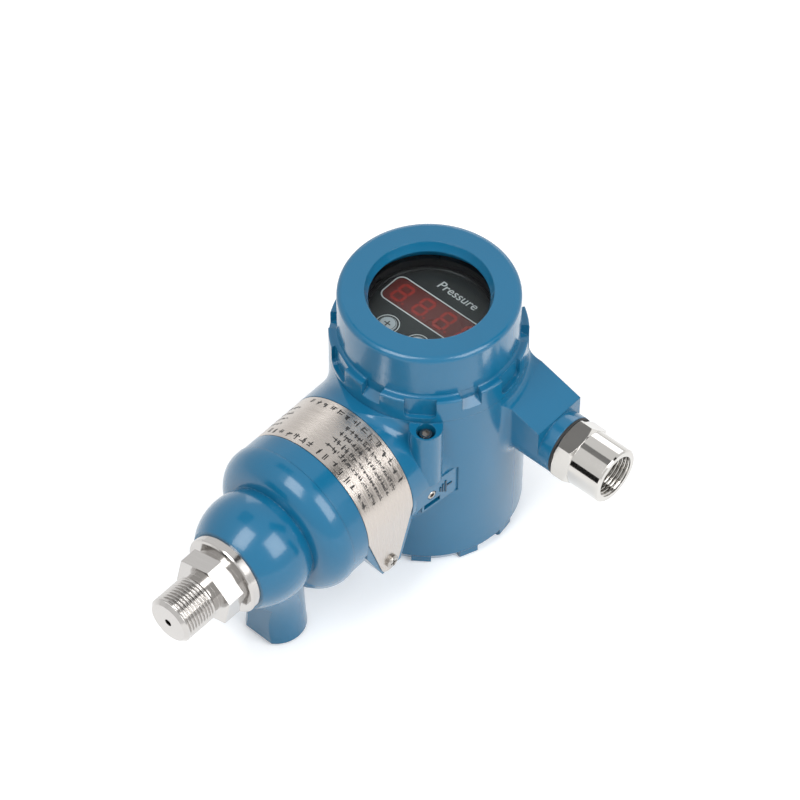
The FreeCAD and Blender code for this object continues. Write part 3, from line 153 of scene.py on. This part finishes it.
def clear_glass(name):
    """Thin clear glass that lets the display show without darkening it."""
    material, tree, shader = tree_of(name)
    clear = tree.nodes.new("ShaderNodeBsdfTransparent")
    clear.inputs["Color"].default_value = GLASS_TINT
    gloss = tree.nodes.new("ShaderNodeBsdfGlossy")
    gloss.inputs["Color"].default_value = WHITE
    grain = noise(tree, GLASS_GRAIN)
    smear = spread(tree, grain, NOISE_LOW, NOISE_HIGH, GLASS_ROUGHNESS, GLASS_SMEAR)
    tree.links.new(smear, gloss.inputs["Roughness"])
    fresnel = tree.nodes.new("ShaderNodeFresnel")
    fresnel.inputs["IOR"].default_value = GLASS_IOR
    blend = tree.nodes.new("ShaderNodeMixShader")
    out = next(n for n in tree.nodes if n.type == "OUTPUT_MATERIAL")
    tree.links.new(fresnel.outputs["Fac"], blend.inputs["Fac"])
    tree.links.new(clear.outputs["BSDF"], blend.inputs[1])
    tree.links.new(gloss.outputs["BSDF"], blend.inputs[2])
    tree.links.new(blend.outputs["Shader"], out.inputs["Surface"])
    tree.nodes.remove(shader)
    return material


paint = finish("blue_paint", (0.004, 0.128, 0.255), 0.21, coat=0.30, specular=0.38, vary=0.05,
               bump=0.04, edge=0.0007, rough_vary=0.05)
earth_paint = finish("earth_sign_paint", (0.006, 0.05, 0.10), 0.35, vary=0.05)
stainless = finish("turned_stainless", (0.50, 0.485, 0.47), 0.14, metal=1.0, scale=40,
                   stretch=(1, 30, 1), edge=0.0002)
nickel = finish("nickel_plate", (0.55, 0.535, 0.51), 0.08, metal=1.0, scale=50, edge=0.0002)
brushed = finish("brushed_stainless", (0.50, 0.46, 0.425), 0.26, metal=1.0, scale=30,
                 stretch=(1, 40, 1), bump=0.10, vary=0.08, rough_vary=0.25)
# darker nickel for the adapter's inside thread: painted shade of the hollow
painted_bore_shade = finish("nickel_painted_bore_shade", (0.26, 0.235, 0.20), 0.28, metal=1.0, scale=50)
zinc = finish("zinc_screws", (0.60, 0.60, 0.60), 0.25, metal=1.0, scale=90, edge=0.0001)
# dark steel for the cover's lock screw, darkened further as painted shade of its recess
dark_steel_and_recess_shade = finish("dark_screw", (0.20, 0.195, 0.19), 0.22, metal=1.0, scale=90, edge=0.0001)
screw_steel = finish("band_screw_steel", (0.42, 0.40, 0.375), 0.24, metal=1.0, scale=90,
                     edge=0.0001)
rubber = finish("black_rubber", (0.012, 0.012, 0.012), 0.6, bump=0.1)
anodised = finish("black_anodised", (0.004, 0.004, 0.005), 0.30, vary=0.1, specular=0.15)
plastic = finish("black_plastic", (0.005, 0.005, 0.006), 0.32, bump=0.05, specular=0.15)
film = finish("black_faceplate", (0.017, 0.018, 0.019), 0.42, bump=0.03, scale=200)
red_filter = finish("red_window", (0.110, 0.016, 0.013), 0.30, vary=0.08)
grey = finish("grey_plastic", (0.2, 0.2, 0.2), 0.5)
cap_grey = finish("button_grey", (0.50, 0.52, 0.55), 0.38, vary=0.03, bump=0.03)
board = finish("green_board", (0.02, 0.13, 0.05), 0.4, vary=0.2, scale=120)
brass = finish("brass_posts", (0.72, 0.52, 0.22), 0.25, metal=1.0)
white_ink = finish("white_ink", (0.62, 0.62, 0.62), 0.5, vary=0.03)
black_ink = finish("black_ink", (0.02, 0.018, 0.017), 0.5, vary=0.2)
red_glow = finish("red_segments", (0.27, 0.018, 0.012), 0.35, vary=0.08, emit=0.1)
glass = clear_glass("window_glass")

FINISHES = {
    "blue_paint": paint, "turned_stainless": stainless, "nickel_plate": nickel,
    "brushed_stainless": brushed, "zinc_screws": zinc, "dark_screw": dark_steel_and_recess_shade,
    "black_rubber": rubber, "black_anodised": anodised, "black_plastic": plastic,
    "black_faceplate": film, "red_window": red_filter, "grey_plastic": grey,
    "button_grey": cap_grey, "green_board": board, "brass_posts": brass, "window_glass": glass}

for entry in frame["record"]["subparts"]:
    part = nodes[entry["node"]]
    part.data.materials.clear()
    part.data.materials.append(FINISHES[entry["material_slot"]])
# the band's screws are lighter than the cover's lock screw, which shares their slot; the lock
# screw's dark steel is partly painted shade of its recess
nodes["band_screws"].data.materials[0] = screw_steel


# ---------------------------------------------------------------------------
# Making pieces: outlines and shapes are in millimetres, meshes in metres
# ---------------------------------------------------------------------------
def add_piece(name, mesh, material, body="housing"):
    """An object that rides on a body, with its finish."""
    piece = bpy.data.objects.new(name, mesh)
    bpy.context.scene.collection.objects.link(piece)
    mesh.materials.clear()
    mesh.materials.append(material)
    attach(piece, body)
    return piece


def mesh_from(name, points, faces, scale=1.0):
    """A mesh from its points and its faces."""
    mesh = bpy.data.meshes.new(name)
    mesh.from_pydata([tuple(scale * c for c in p) for p in points], [], faces)
    mesh.update()
    return mesh


def add_shape(name, shape, material, body="housing"):
    """A piece from points in millimetres and faces."""
    points, faces = shape
    return add_piece(name, mesh_from(name, points, faces, MM), material, body)


def rectangle(x, y, length, width):
    """Outline of a rectangle by its middle."""
    across = length / 2
    along = width / 2
    return [(x - across, y - along), (x + across, y - along),
            (x + across, y + along), (x - across, y + along)]


def rounded(length, width, radius, x, y, steps=6):
    """Outline of a rectangle with rounded corners, by its middle."""
    outline = []
    # the angle where each corner's arc starts, and the sides that it is on
    for start, right, far in ((0, 1, 1), (90, -1, 1), (180, -1, -1), (270, 1, -1)):
        for step in range(steps + 1):
            angle = math.radians(start + 90 * step / steps)
            outline.append((x + right * (length / 2 - radius) + radius * math.cos(angle),
                            y + far * (width / 2 - radius) + radius * math.sin(angle)))
    return outline


def circle(radius, x=0.0, y=0.0, steps=64):
    """Outline of a circle."""
    return [(x + radius * math.cos(2 * math.pi * k / steps),
             y + radius * math.sin(2 * math.pi * k / steps)) for k in range(steps)]


def slab(outline, low, high):
    """A flat piece of even thickness over an outline."""
    count = len(outline)
    points = [(x, y, low) for x, y in outline] + [(x, y, high) for x, y in outline]
    faces = [tuple(range(count))[::-1], tuple(range(count, 2 * count))]
    for i in range(count):
        j = (i + 1) % count
        faces.append((i, j, count + j, count + i))
    return points, faces


def frame_slab(outer, inner, low, high):
    """A flat closed frame between two outlines of equal length."""
    count = len(outer)
    points = []
    for level in (low, high):
        points += [(x, y, level) for x, y in outer] + [(x, y, level) for x, y in inner]
    faces = []
    for i in range(count):
        j = (i + 1) % count
        faces += [(i, count + i, count + j, j),
                  (2 * count + i, 2 * count + j, 3 * count + j, 3 * count + i),
                  (i, j, 2 * count + j, 2 * count + i),
                  (count + i, 3 * count + i, 3 * count + j, count + j)]
    return points, faces


def gather(shapes):
    """Several shapes as one."""
    points = []
    faces = []
    for more, sides in shapes:
        first = len(points)
        points += more
        faces += [tuple(first + i for i in side) for side in sides]
    return points, faces


# ---------------------------------------------------------------------------
# Threads cut into the two steel fittings, both M20 x 1.5
# ---------------------------------------------------------------------------
PITCH = 1.5 * MM
MALE_DEPTH = 0.92 * MM
FEMALE_DEPTH = 0.8 * MM
WALL_TOLERANCE = 0.00008
THREAD_AROUND = 96
ROWS_PER_PITCH = 10
# the length over which the thread fades in and out at its ends
RUN_OUT = 0.8 * PITCH
# shares of half a pitch
CREST_FLAT = 0.12
FLANK = 0.76
SHARP_ANGLE = math.radians(35)


def thread_reach(along, turn, radius, start, end, depth):
    """Radius of the thread at a distance along its axis and a share of a turn."""
    phase = (along / PITCH - turn) % 1.0
    cut = min(1.0, max(0.0, (abs(phase - 0.5) * 2 - CREST_FLAT) / FLANK))
    fade = max(0.0, min(1.0, (along - start) / RUN_OUT, (end - along) / RUN_OUT))
    return radius + depth * cut * fade


def threaded(node, name, centre, axis, radius, start, end, depth, materials):
    """A copy of a CAD fitting whose plain thread wall is replaced by a helical one.

    centre is a point on the axis, and start and end are distances along the axis. A negative
    depth cuts towards the axis, for an outside thread, and a positive one away from it. The
    materials are the fitting's and its thread's.
    """
    work = bmesh.new()
    work.from_mesh(nodes[node].data)
    axis = Vector(axis)
    centre = Vector(centre)
    side = Vector((0, 0, 1))
    other = axis.cross(side)

    def on_wall(face):
        """Whether a face lies on the plain thread wall."""
        for vertex in face.verts:
            offset = vertex.co - centre
            along = offset.dot(axis)
            away = (offset - along * axis).length
            if abs(away - radius) >= WALL_TOLERANCE:
                return False
            if not start - WALL_TOLERANCE < along < end + WALL_TOLERANCE:
                return False
        return True

    wall = [face for face in work.faces if on_wall(face)]
    bmesh.ops.delete(work, geom=wall, context="FACES")
    rows = int((end - start) / PITCH * ROWS_PER_PITCH)
    grid = []
    for row in range(rows + 1):
        along = start + (end - start) * row / rows
        ring = []
        for k in range(THREAD_AROUND):
            turn = k / THREAD_AROUND
            reach = thread_reach(along, turn, radius, start, end, depth)
            angle = 2 * math.pi * turn
            place = centre + axis * along + side * (reach * math.cos(angle))
            ring.append(work.verts.new(place + other * (reach * math.sin(angle))))
        grid.append(ring)
    for near, far in zip(grid, grid[1:]):
        for k in range(THREAD_AROUND):
            j = (k + 1) % THREAD_AROUND
            corners = (near[k], near[j], far[j], far[k])
            face = work.faces.new(corners if depth < 0 else corners[::-1])
            face.smooth = True
            face.material_index = 1
    mesh = bpy.data.meshes.new(name)
    work.to_mesh(mesh)
    work.free()
    mesh.set_sharp_from_angle(angle=SHARP_ANGLE)
    body_material, wall_material = materials
    piece = add_piece(name, mesh, body_material)
    mesh.materials.append(wall_material)
    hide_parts(node)


def thread_sizes(name):
    """Middle, radius and length of the thread at one of the record's mounts."""
    mount = next(mount for mount in frame["record"]["mounts"] if mount["name"] == name)
    return mount["pos_m"], mount["dims"]["r_mm"] * MM, mount["dims"]["length_mm"] * MM


connector_low, connector_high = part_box("process_connector")
arm_height = (connector_low[2] + connector_high[2]) / 2
process, radius, length = thread_sizes("process_thread")
threaded("process_connector", "threaded_connector", (0, 0, arm_height),
         (0, -1, 0), radius, -process[1] - length / 2, -process[1] + length / 2, -MALE_DEPTH,
         (stainless, stainless))
conduit, radius, length = thread_sizes("conduit_thread")
adapter_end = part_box("conduit_adapter")[1][0]
# the inside thread takes the darker nickel, painted shade of the hollow
threaded("conduit_adapter", "threaded_adapter", (0, conduit[1], conduit[2]),
         (1, 0, 0), radius, adapter_end - length, adapter_end, FEMALE_DEPTH, (nickel, painted_bore_shade))

# ---------------------------------------------------------------------------
# Print and light on the display
# ---------------------------------------------------------------------------
INK = 0.03
OUTLINE_LENGTH, OUTLINE_WIDTH, OUTLINE_CORNER = 47.2, 14.2, 3.4
OUTLINE_STROKE = 0.5
INNER_CORNER = 3.0
BUTTON_RING, BUTTON_RING_INNER = 4.95, 4.55
CAP_RING, CAP_RING_INNER = 3.45, 3.25
MARK_LENGTH, MARK_STROKE = 3.0, 0.5
MARK_ARM, MARK_ARM_MIDDLE = 1.2, 0.9
DIGIT_PLACES = (-16.6, -5.6, 5.3, 16.2)
DIGIT_WIDE, DIGIT_TALL, DIGIT_LEAN = 5.0, 8.6, 0.09
DIGIT_STROKE, DIGIT_JOINT = 1.3, 0.25
POINT_RADIUS, POINT_STEP, POINT_SIDES = 0.55, 1.3, 16
WORD = "Pressure"
WORD_SIZE, WORD_SHEAR, WORD_WEIGHT = 5.6, 0.15, 0.00003
WORD_X, WORD_Y = 0.6, 13.2
WORD_CURVE_STEPS = 3

plate_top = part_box("display_faceplate")[1][2] / MM
window_low, window_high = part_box("display_window")
window_top = window_high[2] / MM
middle = (window_low[1] + window_high[1]) / 2 / MM

outer = rounded(OUTLINE_LENGTH, OUTLINE_WIDTH, OUTLINE_CORNER, 0, middle)
inner = rounded(OUTLINE_LENGTH - 2 * OUTLINE_STROKE, OUTLINE_WIDTH - 2 * OUTLINE_STROKE,
                INNER_CORNER, 0, middle)
add_shape("window_outline", frame_slab(outer, inner, plate_top, plate_top + INK), white_ink)

rings = []
for side in ("left", "right"):
    low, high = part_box("button_" + side)
    x = (low[0] + high[0]) / 2 / MM
    y = (low[1] + high[1]) / 2 / MM
    top = high[2] / MM
    rings.append(frame_slab(circle(BUTTON_RING, x, y), circle(BUTTON_RING_INNER, x, y),
                            plate_top, plate_top + INK))
    mark = [slab(rectangle(x, y, MARK_LENGTH, MARK_STROKE), top, top + INK)]
    if side == "left":
        for place in (y + MARK_ARM_MIDDLE, y - MARK_ARM_MIDDLE):
            mark.append(slab(rectangle(x, place, MARK_STROKE, MARK_ARM), top, top + INK))
    mark.append(frame_slab(circle(CAP_RING, x, y), circle(CAP_RING_INNER, x, y), top, top + INK))
    add_shape("button_mark_" + side, gather(mark), black_ink, "button_" + side)
add_shape("button_outlines", gather(rings), white_ink)


def segment(x, y, length, upright):
    """Outline of one leaning bar of a digit, pointed at both ends."""
    half = length / 2
    tip = DIGIT_STROKE / 2
    flat = [(-half, 0), (-half + tip, tip), (half - tip, tip),
            (half, 0), (half - tip, -tip), (-half + tip, -tip)]
    placed = []
    for a, b in flat:
        across, along = (b, a) if upright else (a, b)
        placed.append((x + across + (y + along) * DIGIT_LEAN, y + along))
    return placed


def digit(place):
    """Outlines of a figure eight and its point, at a place along the row."""
    outlines = []
    for y in (DIGIT_TALL / 2, 0, -DIGIT_TALL / 2):
        outlines.append(segment(0, y, DIGIT_WIDE - DIGIT_JOINT, False))
    for y in (DIGIT_TALL / 4, -DIGIT_TALL / 4):
        for x in (-DIGIT_WIDE / 2, DIGIT_WIDE / 2):
            outlines.append(segment(x, y, DIGIT_TALL / 2 - DIGIT_JOINT, True))
    point = DIGIT_WIDE / 2 + POINT_STEP
    outlines.append(circle(POINT_RADIUS, point, -DIGIT_TALL / 2, POINT_SIDES))
    return [[(place + x, middle + y) for x, y in outline] for outline in outlines]


bars = [slab(outline, window_top, window_top + INK)
        for place in DIGIT_PLACES for outline in digit(place)]
add_shape("digits", gather(bars), red_glow)


def lettering(name, words, height, at, material):
    """Generic words as flat mesh, centred on a point in millimetres."""
    curve = bpy.data.curves.new(name, "FONT")
    curve.body = words
    curve.size = height * MM
    curve.align_x = "CENTER"
    curve.align_y = "CENTER"
    curve.shear = WORD_SHEAR
    curve.offset = WORD_WEIGHT
    curve.extrude = INK * MM / 2
    curve.resolution_u = WORD_CURVE_STEPS
    source = bpy.data.objects.new(name + "_curve", curve)
    bpy.context.scene.collection.objects.link(source)
    depsgraph = bpy.context.evaluated_depsgraph_get()
    mesh = bpy.data.meshes.new_from_object(source.evaluated_get(depsgraph))
    bpy.data.objects.remove(source)
    mesh.transform(Matrix.Translation(Vector(at) * MM))
    add_piece(name, mesh, material)


lettering("display_word", WORD, WORD_SIZE, (WORD_X, middle + WORD_Y, plate_top + INK / 2),
          white_ink)

# ---------------------------------------------------------------------------
# Print on the label band: rows of strokes that stand for no writing
# ---------------------------------------------------------------------------
PRINT_LIFT = 0.02
BAR_STEPS = 3
STROKES = 4
# shares of a sign's size
SCATTER = 0.35
UPRIGHT_WIDE, UPRIGHT_TALL = 0.2, (0.6, 1.0)
LEVEL_WIDE, LEVEL_TALL = (0.5, 0.9), 0.19
UPRIGHT_ODDS = 0.5
# first angle, last angle and step between signs in degrees, and size of a sign
TITLE_ROW = (-34, 66, 7.2, 2.4)
EDGE_ROW = (-44, 62, 7.2, 2.4)
SMALL_ROWS = ((8, 30, 4.0, 2.1), (33, 64, 2.9, 1.6), (-56, -40, 3.0, 1.3))
TITLE_PLACE, EDGE_PLACE = 2.8, 3.0
SMALL_PLACE, SMALL_PITCH, SMALL_COUNT = 7.2, 3.6, 4

band_low, band_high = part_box("label_band")
band_radius = (band_high[0] - band_low[0]) / 2 / MM
band_near = -band_high[1] / MM
band_far = -band_low[1] / MM
arm_level = arm_height / MM
dice = random.Random(7)


def on_band(along, turn):
    """A point on the band: distance out along the arm, and angle from the top towards +X."""
    angle = math.radians(turn)
    reach = band_radius + PRINT_LIFT
    return (reach * math.sin(angle), -along, arm_level + reach * math.cos(angle))


def bar_on_band(along, turn, wide, tall):
    """A small printed bar, wide round the arm and tall along it."""
    half = math.degrees(wide / 2 / band_radius)
    points = []
    for k in range(BAR_STEPS + 1):
        angle = turn - half + 2 * half * k / BAR_STEPS
        points += [on_band(along - tall / 2, angle), on_band(along + tall / 2, angle)]
    faces = [(2 * k, 2 * k + 1, 2 * k + 3, 2 * k + 2) for k in range(BAR_STEPS)]
    return points, faces


def printed_row(along, first, last, step, size):
    """A row of signs round the band, each a few strokes drawn by chance."""
    strokes = []
    turn = first
    while turn < last:
        for _ in range(STROKES):
            upright = dice.random() < UPRIGHT_ODDS
            wide = size * (UPRIGHT_WIDE if upright else dice.uniform(*LEVEL_WIDE))
            tall = size * (dice.uniform(*UPRIGHT_TALL) if upright else LEVEL_TALL)
            shift = math.degrees(dice.uniform(-SCATTER, SCATTER) * size / band_radius)
            place = along + dice.uniform(-SCATTER, SCATTER) * size
            strokes.append(bar_on_band(place, turn + shift, wide, tall))
        turn += step
    return strokes


strokes = printed_row(band_near + TITLE_PLACE, *TITLE_ROW)
strokes += printed_row(band_far - EDGE_PLACE, *EDGE_ROW)
for index in range(SMALL_COUNT):
    for small_row in SMALL_ROWS:
        strokes += printed_row(band_near + SMALL_PLACE + SMALL_PITCH * index, *small_row)
add_shape("band_print", gather(strokes), black_ink)

# ---------------------------------------------------------------------------
# Earth sign and flush screw on the pad
# ---------------------------------------------------------------------------
# the pad faces out from the barrel's axis, turned a little from +X
PAD_TURN = math.radians(-6.6)
PAD_FACE = 35.2
SIGN_SUNK, SIGN_RISE = 0.05, 0.35
SIGN_LEVEL, SIGN_STROKE = 54.1, 0.7
STEM_PLACE, STEM_LENGTH = -20.6, 3.0
# place along the pad, and height
SIGN_BARS = ((-22.3, 6.6), (-23.7, 4.4), (-25.0, 2.4))
SCREW_PLACE, SCREW_LEVEL, SCREW_RADIUS = -29.5, 54.15, 1.9
SCREW_FACE, SCREW_DEPTH, SCREW_CHAMFER = 35.3, 6.0, 0.25
SOCKET_FLATS, SOCKET_DEPTH = 2.0, 1.6
SCREW_STEPS = 48


def on_pad(out, along, level):
    """A point by its distance out from the barrel's axis, along the pad, and up."""
    return (out * math.cos(PAD_TURN) - along * math.sin(PAD_TURN),
            out * math.sin(PAD_TURN) + along * math.cos(PAD_TURN), level)


def bar_on_pad(along, length, height):
    """A raised bar of the earth sign."""
    points = [on_pad(out, a, b) for out in (PAD_FACE - SIGN_SUNK, PAD_FACE + SIGN_RISE)
              for a, b in rectangle(along, SIGN_LEVEL, length, height)]
    faces = [(0, 3, 2, 1), (4, 5, 6, 7), (0, 1, 5, 4), (1, 2, 6, 5), (2, 3, 7, 6), (3, 0, 4, 7)]
    return points, faces


def hexagon_round(flats, steps):
    """Points spaced evenly along the sides of a hexagon."""
    corner = flats / math.sqrt(3)
    corners = [Vector(place) for place in circle(corner, steps=6)]
    outline = []
    for k in range(steps):
        side, part = divmod(k * 6 / steps, 1)
        first = corners[int(side) % 6]
        second = corners[(int(side) + 1) % 6]
        outline.append(tuple(first.lerp(second, part)))
    return outline


def socket_screw():
    """A flush screw with a hexagon socket in the pad."""
    rim = circle(SCREW_RADIUS, steps=SCREW_STEPS)
    edge = circle(SCREW_RADIUS - SCREW_CHAMFER, steps=SCREW_STEPS)
    socket = hexagon_round(SOCKET_FLATS, SCREW_STEPS)
    layers = [(rim, SCREW_FACE - SCREW_DEPTH), (rim, SCREW_FACE - SCREW_CHAMFER),
              (edge, SCREW_FACE), (socket, SCREW_FACE), (socket, SCREW_FACE - SOCKET_DEPTH)]
    points = [on_pad(level, SCREW_PLACE + a, SCREW_LEVEL + b)
              for outline, level in layers for a, b in outline]
    faces = []
    for layer in range(len(layers) - 1):
        low = layer * SCREW_STEPS
        for k in range(SCREW_STEPS):
            j = (k + 1) % SCREW_STEPS
            faces.append((low + k, low + j, low + SCREW_STEPS + j, low + SCREW_STEPS + k))
    last = (len(layers) - 1) * SCREW_STEPS
    faces.append(tuple(range(last, last + SCREW_STEPS)))
    faces.append(tuple(range(SCREW_STEPS))[::-1])
    return points, faces


screw = add_shape("earth_screw", socket_screw(), screw_steel)
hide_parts("ground_screw", "ground_washer")
bars = [bar_on_pad(STEM_PLACE, STEM_LENGTH, SIGN_STROKE)]
bars += [bar_on_pad(place, SIGN_STROKE, height) for place, height in SIGN_BARS]
add_shape("earth_sign", gather(bars), earth_paint)

# ---------------------------------------------------------------------------
# World and floor
# ---------------------------------------------------------------------------
WORLD_STRENGTH = 0.36
FLOOR_SIZE = 5.0
FLOOR_DARKER, FLOOR_LIGHTER = (0.93, 0.93, 0.93), (0.95, 0.95, 0.95)
FLOOR_GRAIN, FLOOR_ROUGHNESS = 3.0, 0.8
# the glow that makes the seen floor white, near the object and far from it
FLOOR_LIFT, FLOOR_LIFT_FAR = 0.28, 0.66
FADE_START, FADE_END = 0.35, 1.1


def seen(tree):
    """1 where the camera, a reflection or the glass sees the surface, and 0 for its light."""
    path = tree.nodes.new("ShaderNodeLightPath")
    total = path.outputs["Is Camera Ray"]
    for ray in ("Is Glossy Ray", "Is Transmission Ray"):
        larger = tree.nodes.new("ShaderNodeMath")
        larger.operation = "MAXIMUM"
        tree.links.new(total, larger.inputs[0])
        tree.links.new(path.outputs[ray], larger.inputs[1])
        total = larger.outputs[0]
    return total


def matt(shader, roughness):
    """Take the gloss off a shader."""
    shader.inputs["Roughness"].default_value = roughness
    shader.inputs["Specular IOR Level"].default_value = 0.0


def sheet(length, width):
    """A flat sheet about the origin."""
    points = [(x, y, 0) for x, y in rectangle(0, 0, length, width)]
    return points, [(0, 1, 2, 3)]


world = bpy.data.worlds.new("studio")
bpy.context.scene.world = world
world.use_nodes = True
tree = world.node_tree
plain = next(n for n in tree.nodes if n.type == "BACKGROUND")
plain.inputs["Color"].default_value = WHITE
plain.inputs["Strength"].default_value = WORLD_STRENGTH
white = tree.nodes.new("ShaderNodeBackground")
white.inputs["Color"].default_value = WHITE
white.inputs["Strength"].default_value = 1.0
blend = tree.nodes.new("ShaderNodeMixShader")
tree.links.new(seen(tree), blend.inputs["Fac"])
tree.links.new(plain.outputs[0], blend.inputs[1])
tree.links.new(white.outputs[0], blend.inputs[2])
output = next(n for n in tree.nodes if n.type == "OUTPUT_WORLD")
tree.links.new(blend.outputs[0], output.inputs["Surface"])

floor = bpy.data.objects.new("floor", mesh_from("floor", *sheet(2 * FLOOR_SIZE, 2 * FLOOR_SIZE)))
bpy.context.scene.collection.objects.link(floor)
floor_material, tree, shader = tree_of("floor_white")
tint = mixed(tree, noise(tree, FLOOR_GRAIN), FLOOR_DARKER, FLOOR_LIGHTER)
tree.links.new(tint, shader.inputs["Base Color"])
place = tree.nodes.new("ShaderNodeTexCoord")
away = tree.nodes.new("ShaderNodeVectorMath")
away.operation = "LENGTH"
tree.links.new(place.outputs["Object"], away.inputs[0])
lift = tree.nodes.new("ShaderNodeMath")
lift.operation = "MULTIPLY"
tree.links.new(seen(tree), lift.inputs[0])
fade = spread(tree, away.outputs["Value"], FADE_START, FADE_END, FLOOR_LIFT, FLOOR_LIFT_FAR)
tree.links.new(fade, lift.inputs[1])
shader.inputs["Emission Color"].default_value = WHITE
tree.links.new(lift.outputs[0], shader.inputs["Emission Strength"])
matt(shader, FLOOR_ROUGHNESS)
floor.data.materials.append(floor_material)

# ---------------------------------------------------------------------------
# Lamps, and cards that the polished metal reflects
# ---------------------------------------------------------------------------
# Angles are in degrees, distances and sizes in metres and powers in watts.
AIM = Vector((0, -0.04, 0.06))
CARD_GRAIN, CARD_VARY, CARD_ROUGHNESS = 8.0, 0.1, 0.9


def set_round(item, azimuth, elevation, distance):
    """Set a lamp or a card round the object, facing its middle."""
    bpy.context.scene.collection.objects.link(item)
    a = math.radians(azimuth)
    e = math.radians(elevation)
    out = Vector((math.cos(a) * math.cos(e), math.sin(a) * math.cos(e), math.sin(e)))
    item.location = AIM + out * distance
    item.rotation_euler = out.to_track_quat("Z", "Y").to_euler()


def lamp(name, azimuth, elevation, distance, width, height, power):
    """A soft rectangular lamp."""
    light = bpy.data.lights.new(name, "AREA")
    light.shape = "RECTANGLE"
    light.size = width
    light.size_y = height
    light.energy = power
    lamp_object = bpy.data.objects.new(name, light)
    set_round(lamp_object, azimuth, elevation, distance)


def card_finish(name, shade):
    """Matt card of one grey."""
    material, tree, shader = tree_of(name)
    darker = [shade * (1 - CARD_VARY)] * 3
    lighter = [shade * (1 + CARD_VARY)] * 3
    tint = mixed(tree, noise(tree, CARD_GRAIN), darker, lighter)
    tree.links.new(tint, shader.inputs["Base Color"])
    matt(shader, CARD_ROUGHNESS)
    return material


def card(name, azimuth, elevation, distance, width, height, material):
    """A card that only reflections see, for the dark edges of polished metal."""
    prop = bpy.data.objects.new(name, mesh_from(name, *sheet(width, height)))
    prop.data.materials.append(material)
    prop.visible_camera = False
    prop.visible_diffuse = False
    prop.visible_shadow = False
    set_round(prop, azimuth, elevation, distance)


lamp("left_softbox", -92, 60, 0.9, 0.42, 0.6, 4.8)
lamp("right_softbox", 4, 40, 0.9, 0.5, 0.6, 5.0)
lamp("back_fill", 125, 22, 1.0, 0.7, 0.5, 1.8)
black_card = card_finish("card_black", 0.02)
grey_card = card_finish("card_grey", 0.30)
card("card_low_left", -110.4, 4.6, 0.75, 0.30, 0.34, black_card)
card("card_above", 176, 65, 0.8, 0.30, 0.34, grey_card)
card("card_back_right", 50, 50, 0.8, 0.20, 0.45, black_card)
card("card_low_right", 29, 0, 0.5, 0.08, 0.5, black_card)

# ---------------------------------------------------------------------------
# Camera
# ---------------------------------------------------------------------------
AZIMUTH = math.radians(41.46)
ELEVATION = math.radians(50.2)
ROLL = math.radians(0.25)
DISTANCE = 1.35045
TARGET = Vector((0.00001, -0.01649, 0.07222))
SENSOR_WIDTH, FOCAL_LENGTH = 36, 153.8
SHIFT_X = -0.00074
CLIP_START, CLIP_END = 0.05, 20

back = Vector((math.sin(AZIMUTH) * math.cos(ELEVATION), -math.cos(AZIMUTH) * math.cos(ELEVATION),
               math.sin(ELEVATION)))
level = Vector((math.cos(AZIMUTH), math.sin(AZIMUTH), 0))
upright = back.cross(level)
right = level * math.cos(ROLL) + upright * math.sin(ROLL)
up = back.cross(right)
lens = bpy.data.cameras.new("camera")
lens.sensor_width = SENSOR_WIDTH
lens.lens = FOCAL_LENGTH
lens.shift_x = SHIFT_X
lens.clip_start = CLIP_START
lens.clip_end = CLIP_END
camera = bpy.data.objects.new("camera", lens)
bpy.context.scene.collection.objects.link(camera)
turn = Matrix((right, up, back)).transposed().to_4x4()
camera.matrix_world = Matrix.Translation(TARGET + back * DISTANCE) @ turn
bpy.context.scene.camera = camera
bpy.context.scene.view_settings.view_transform = "Standard"
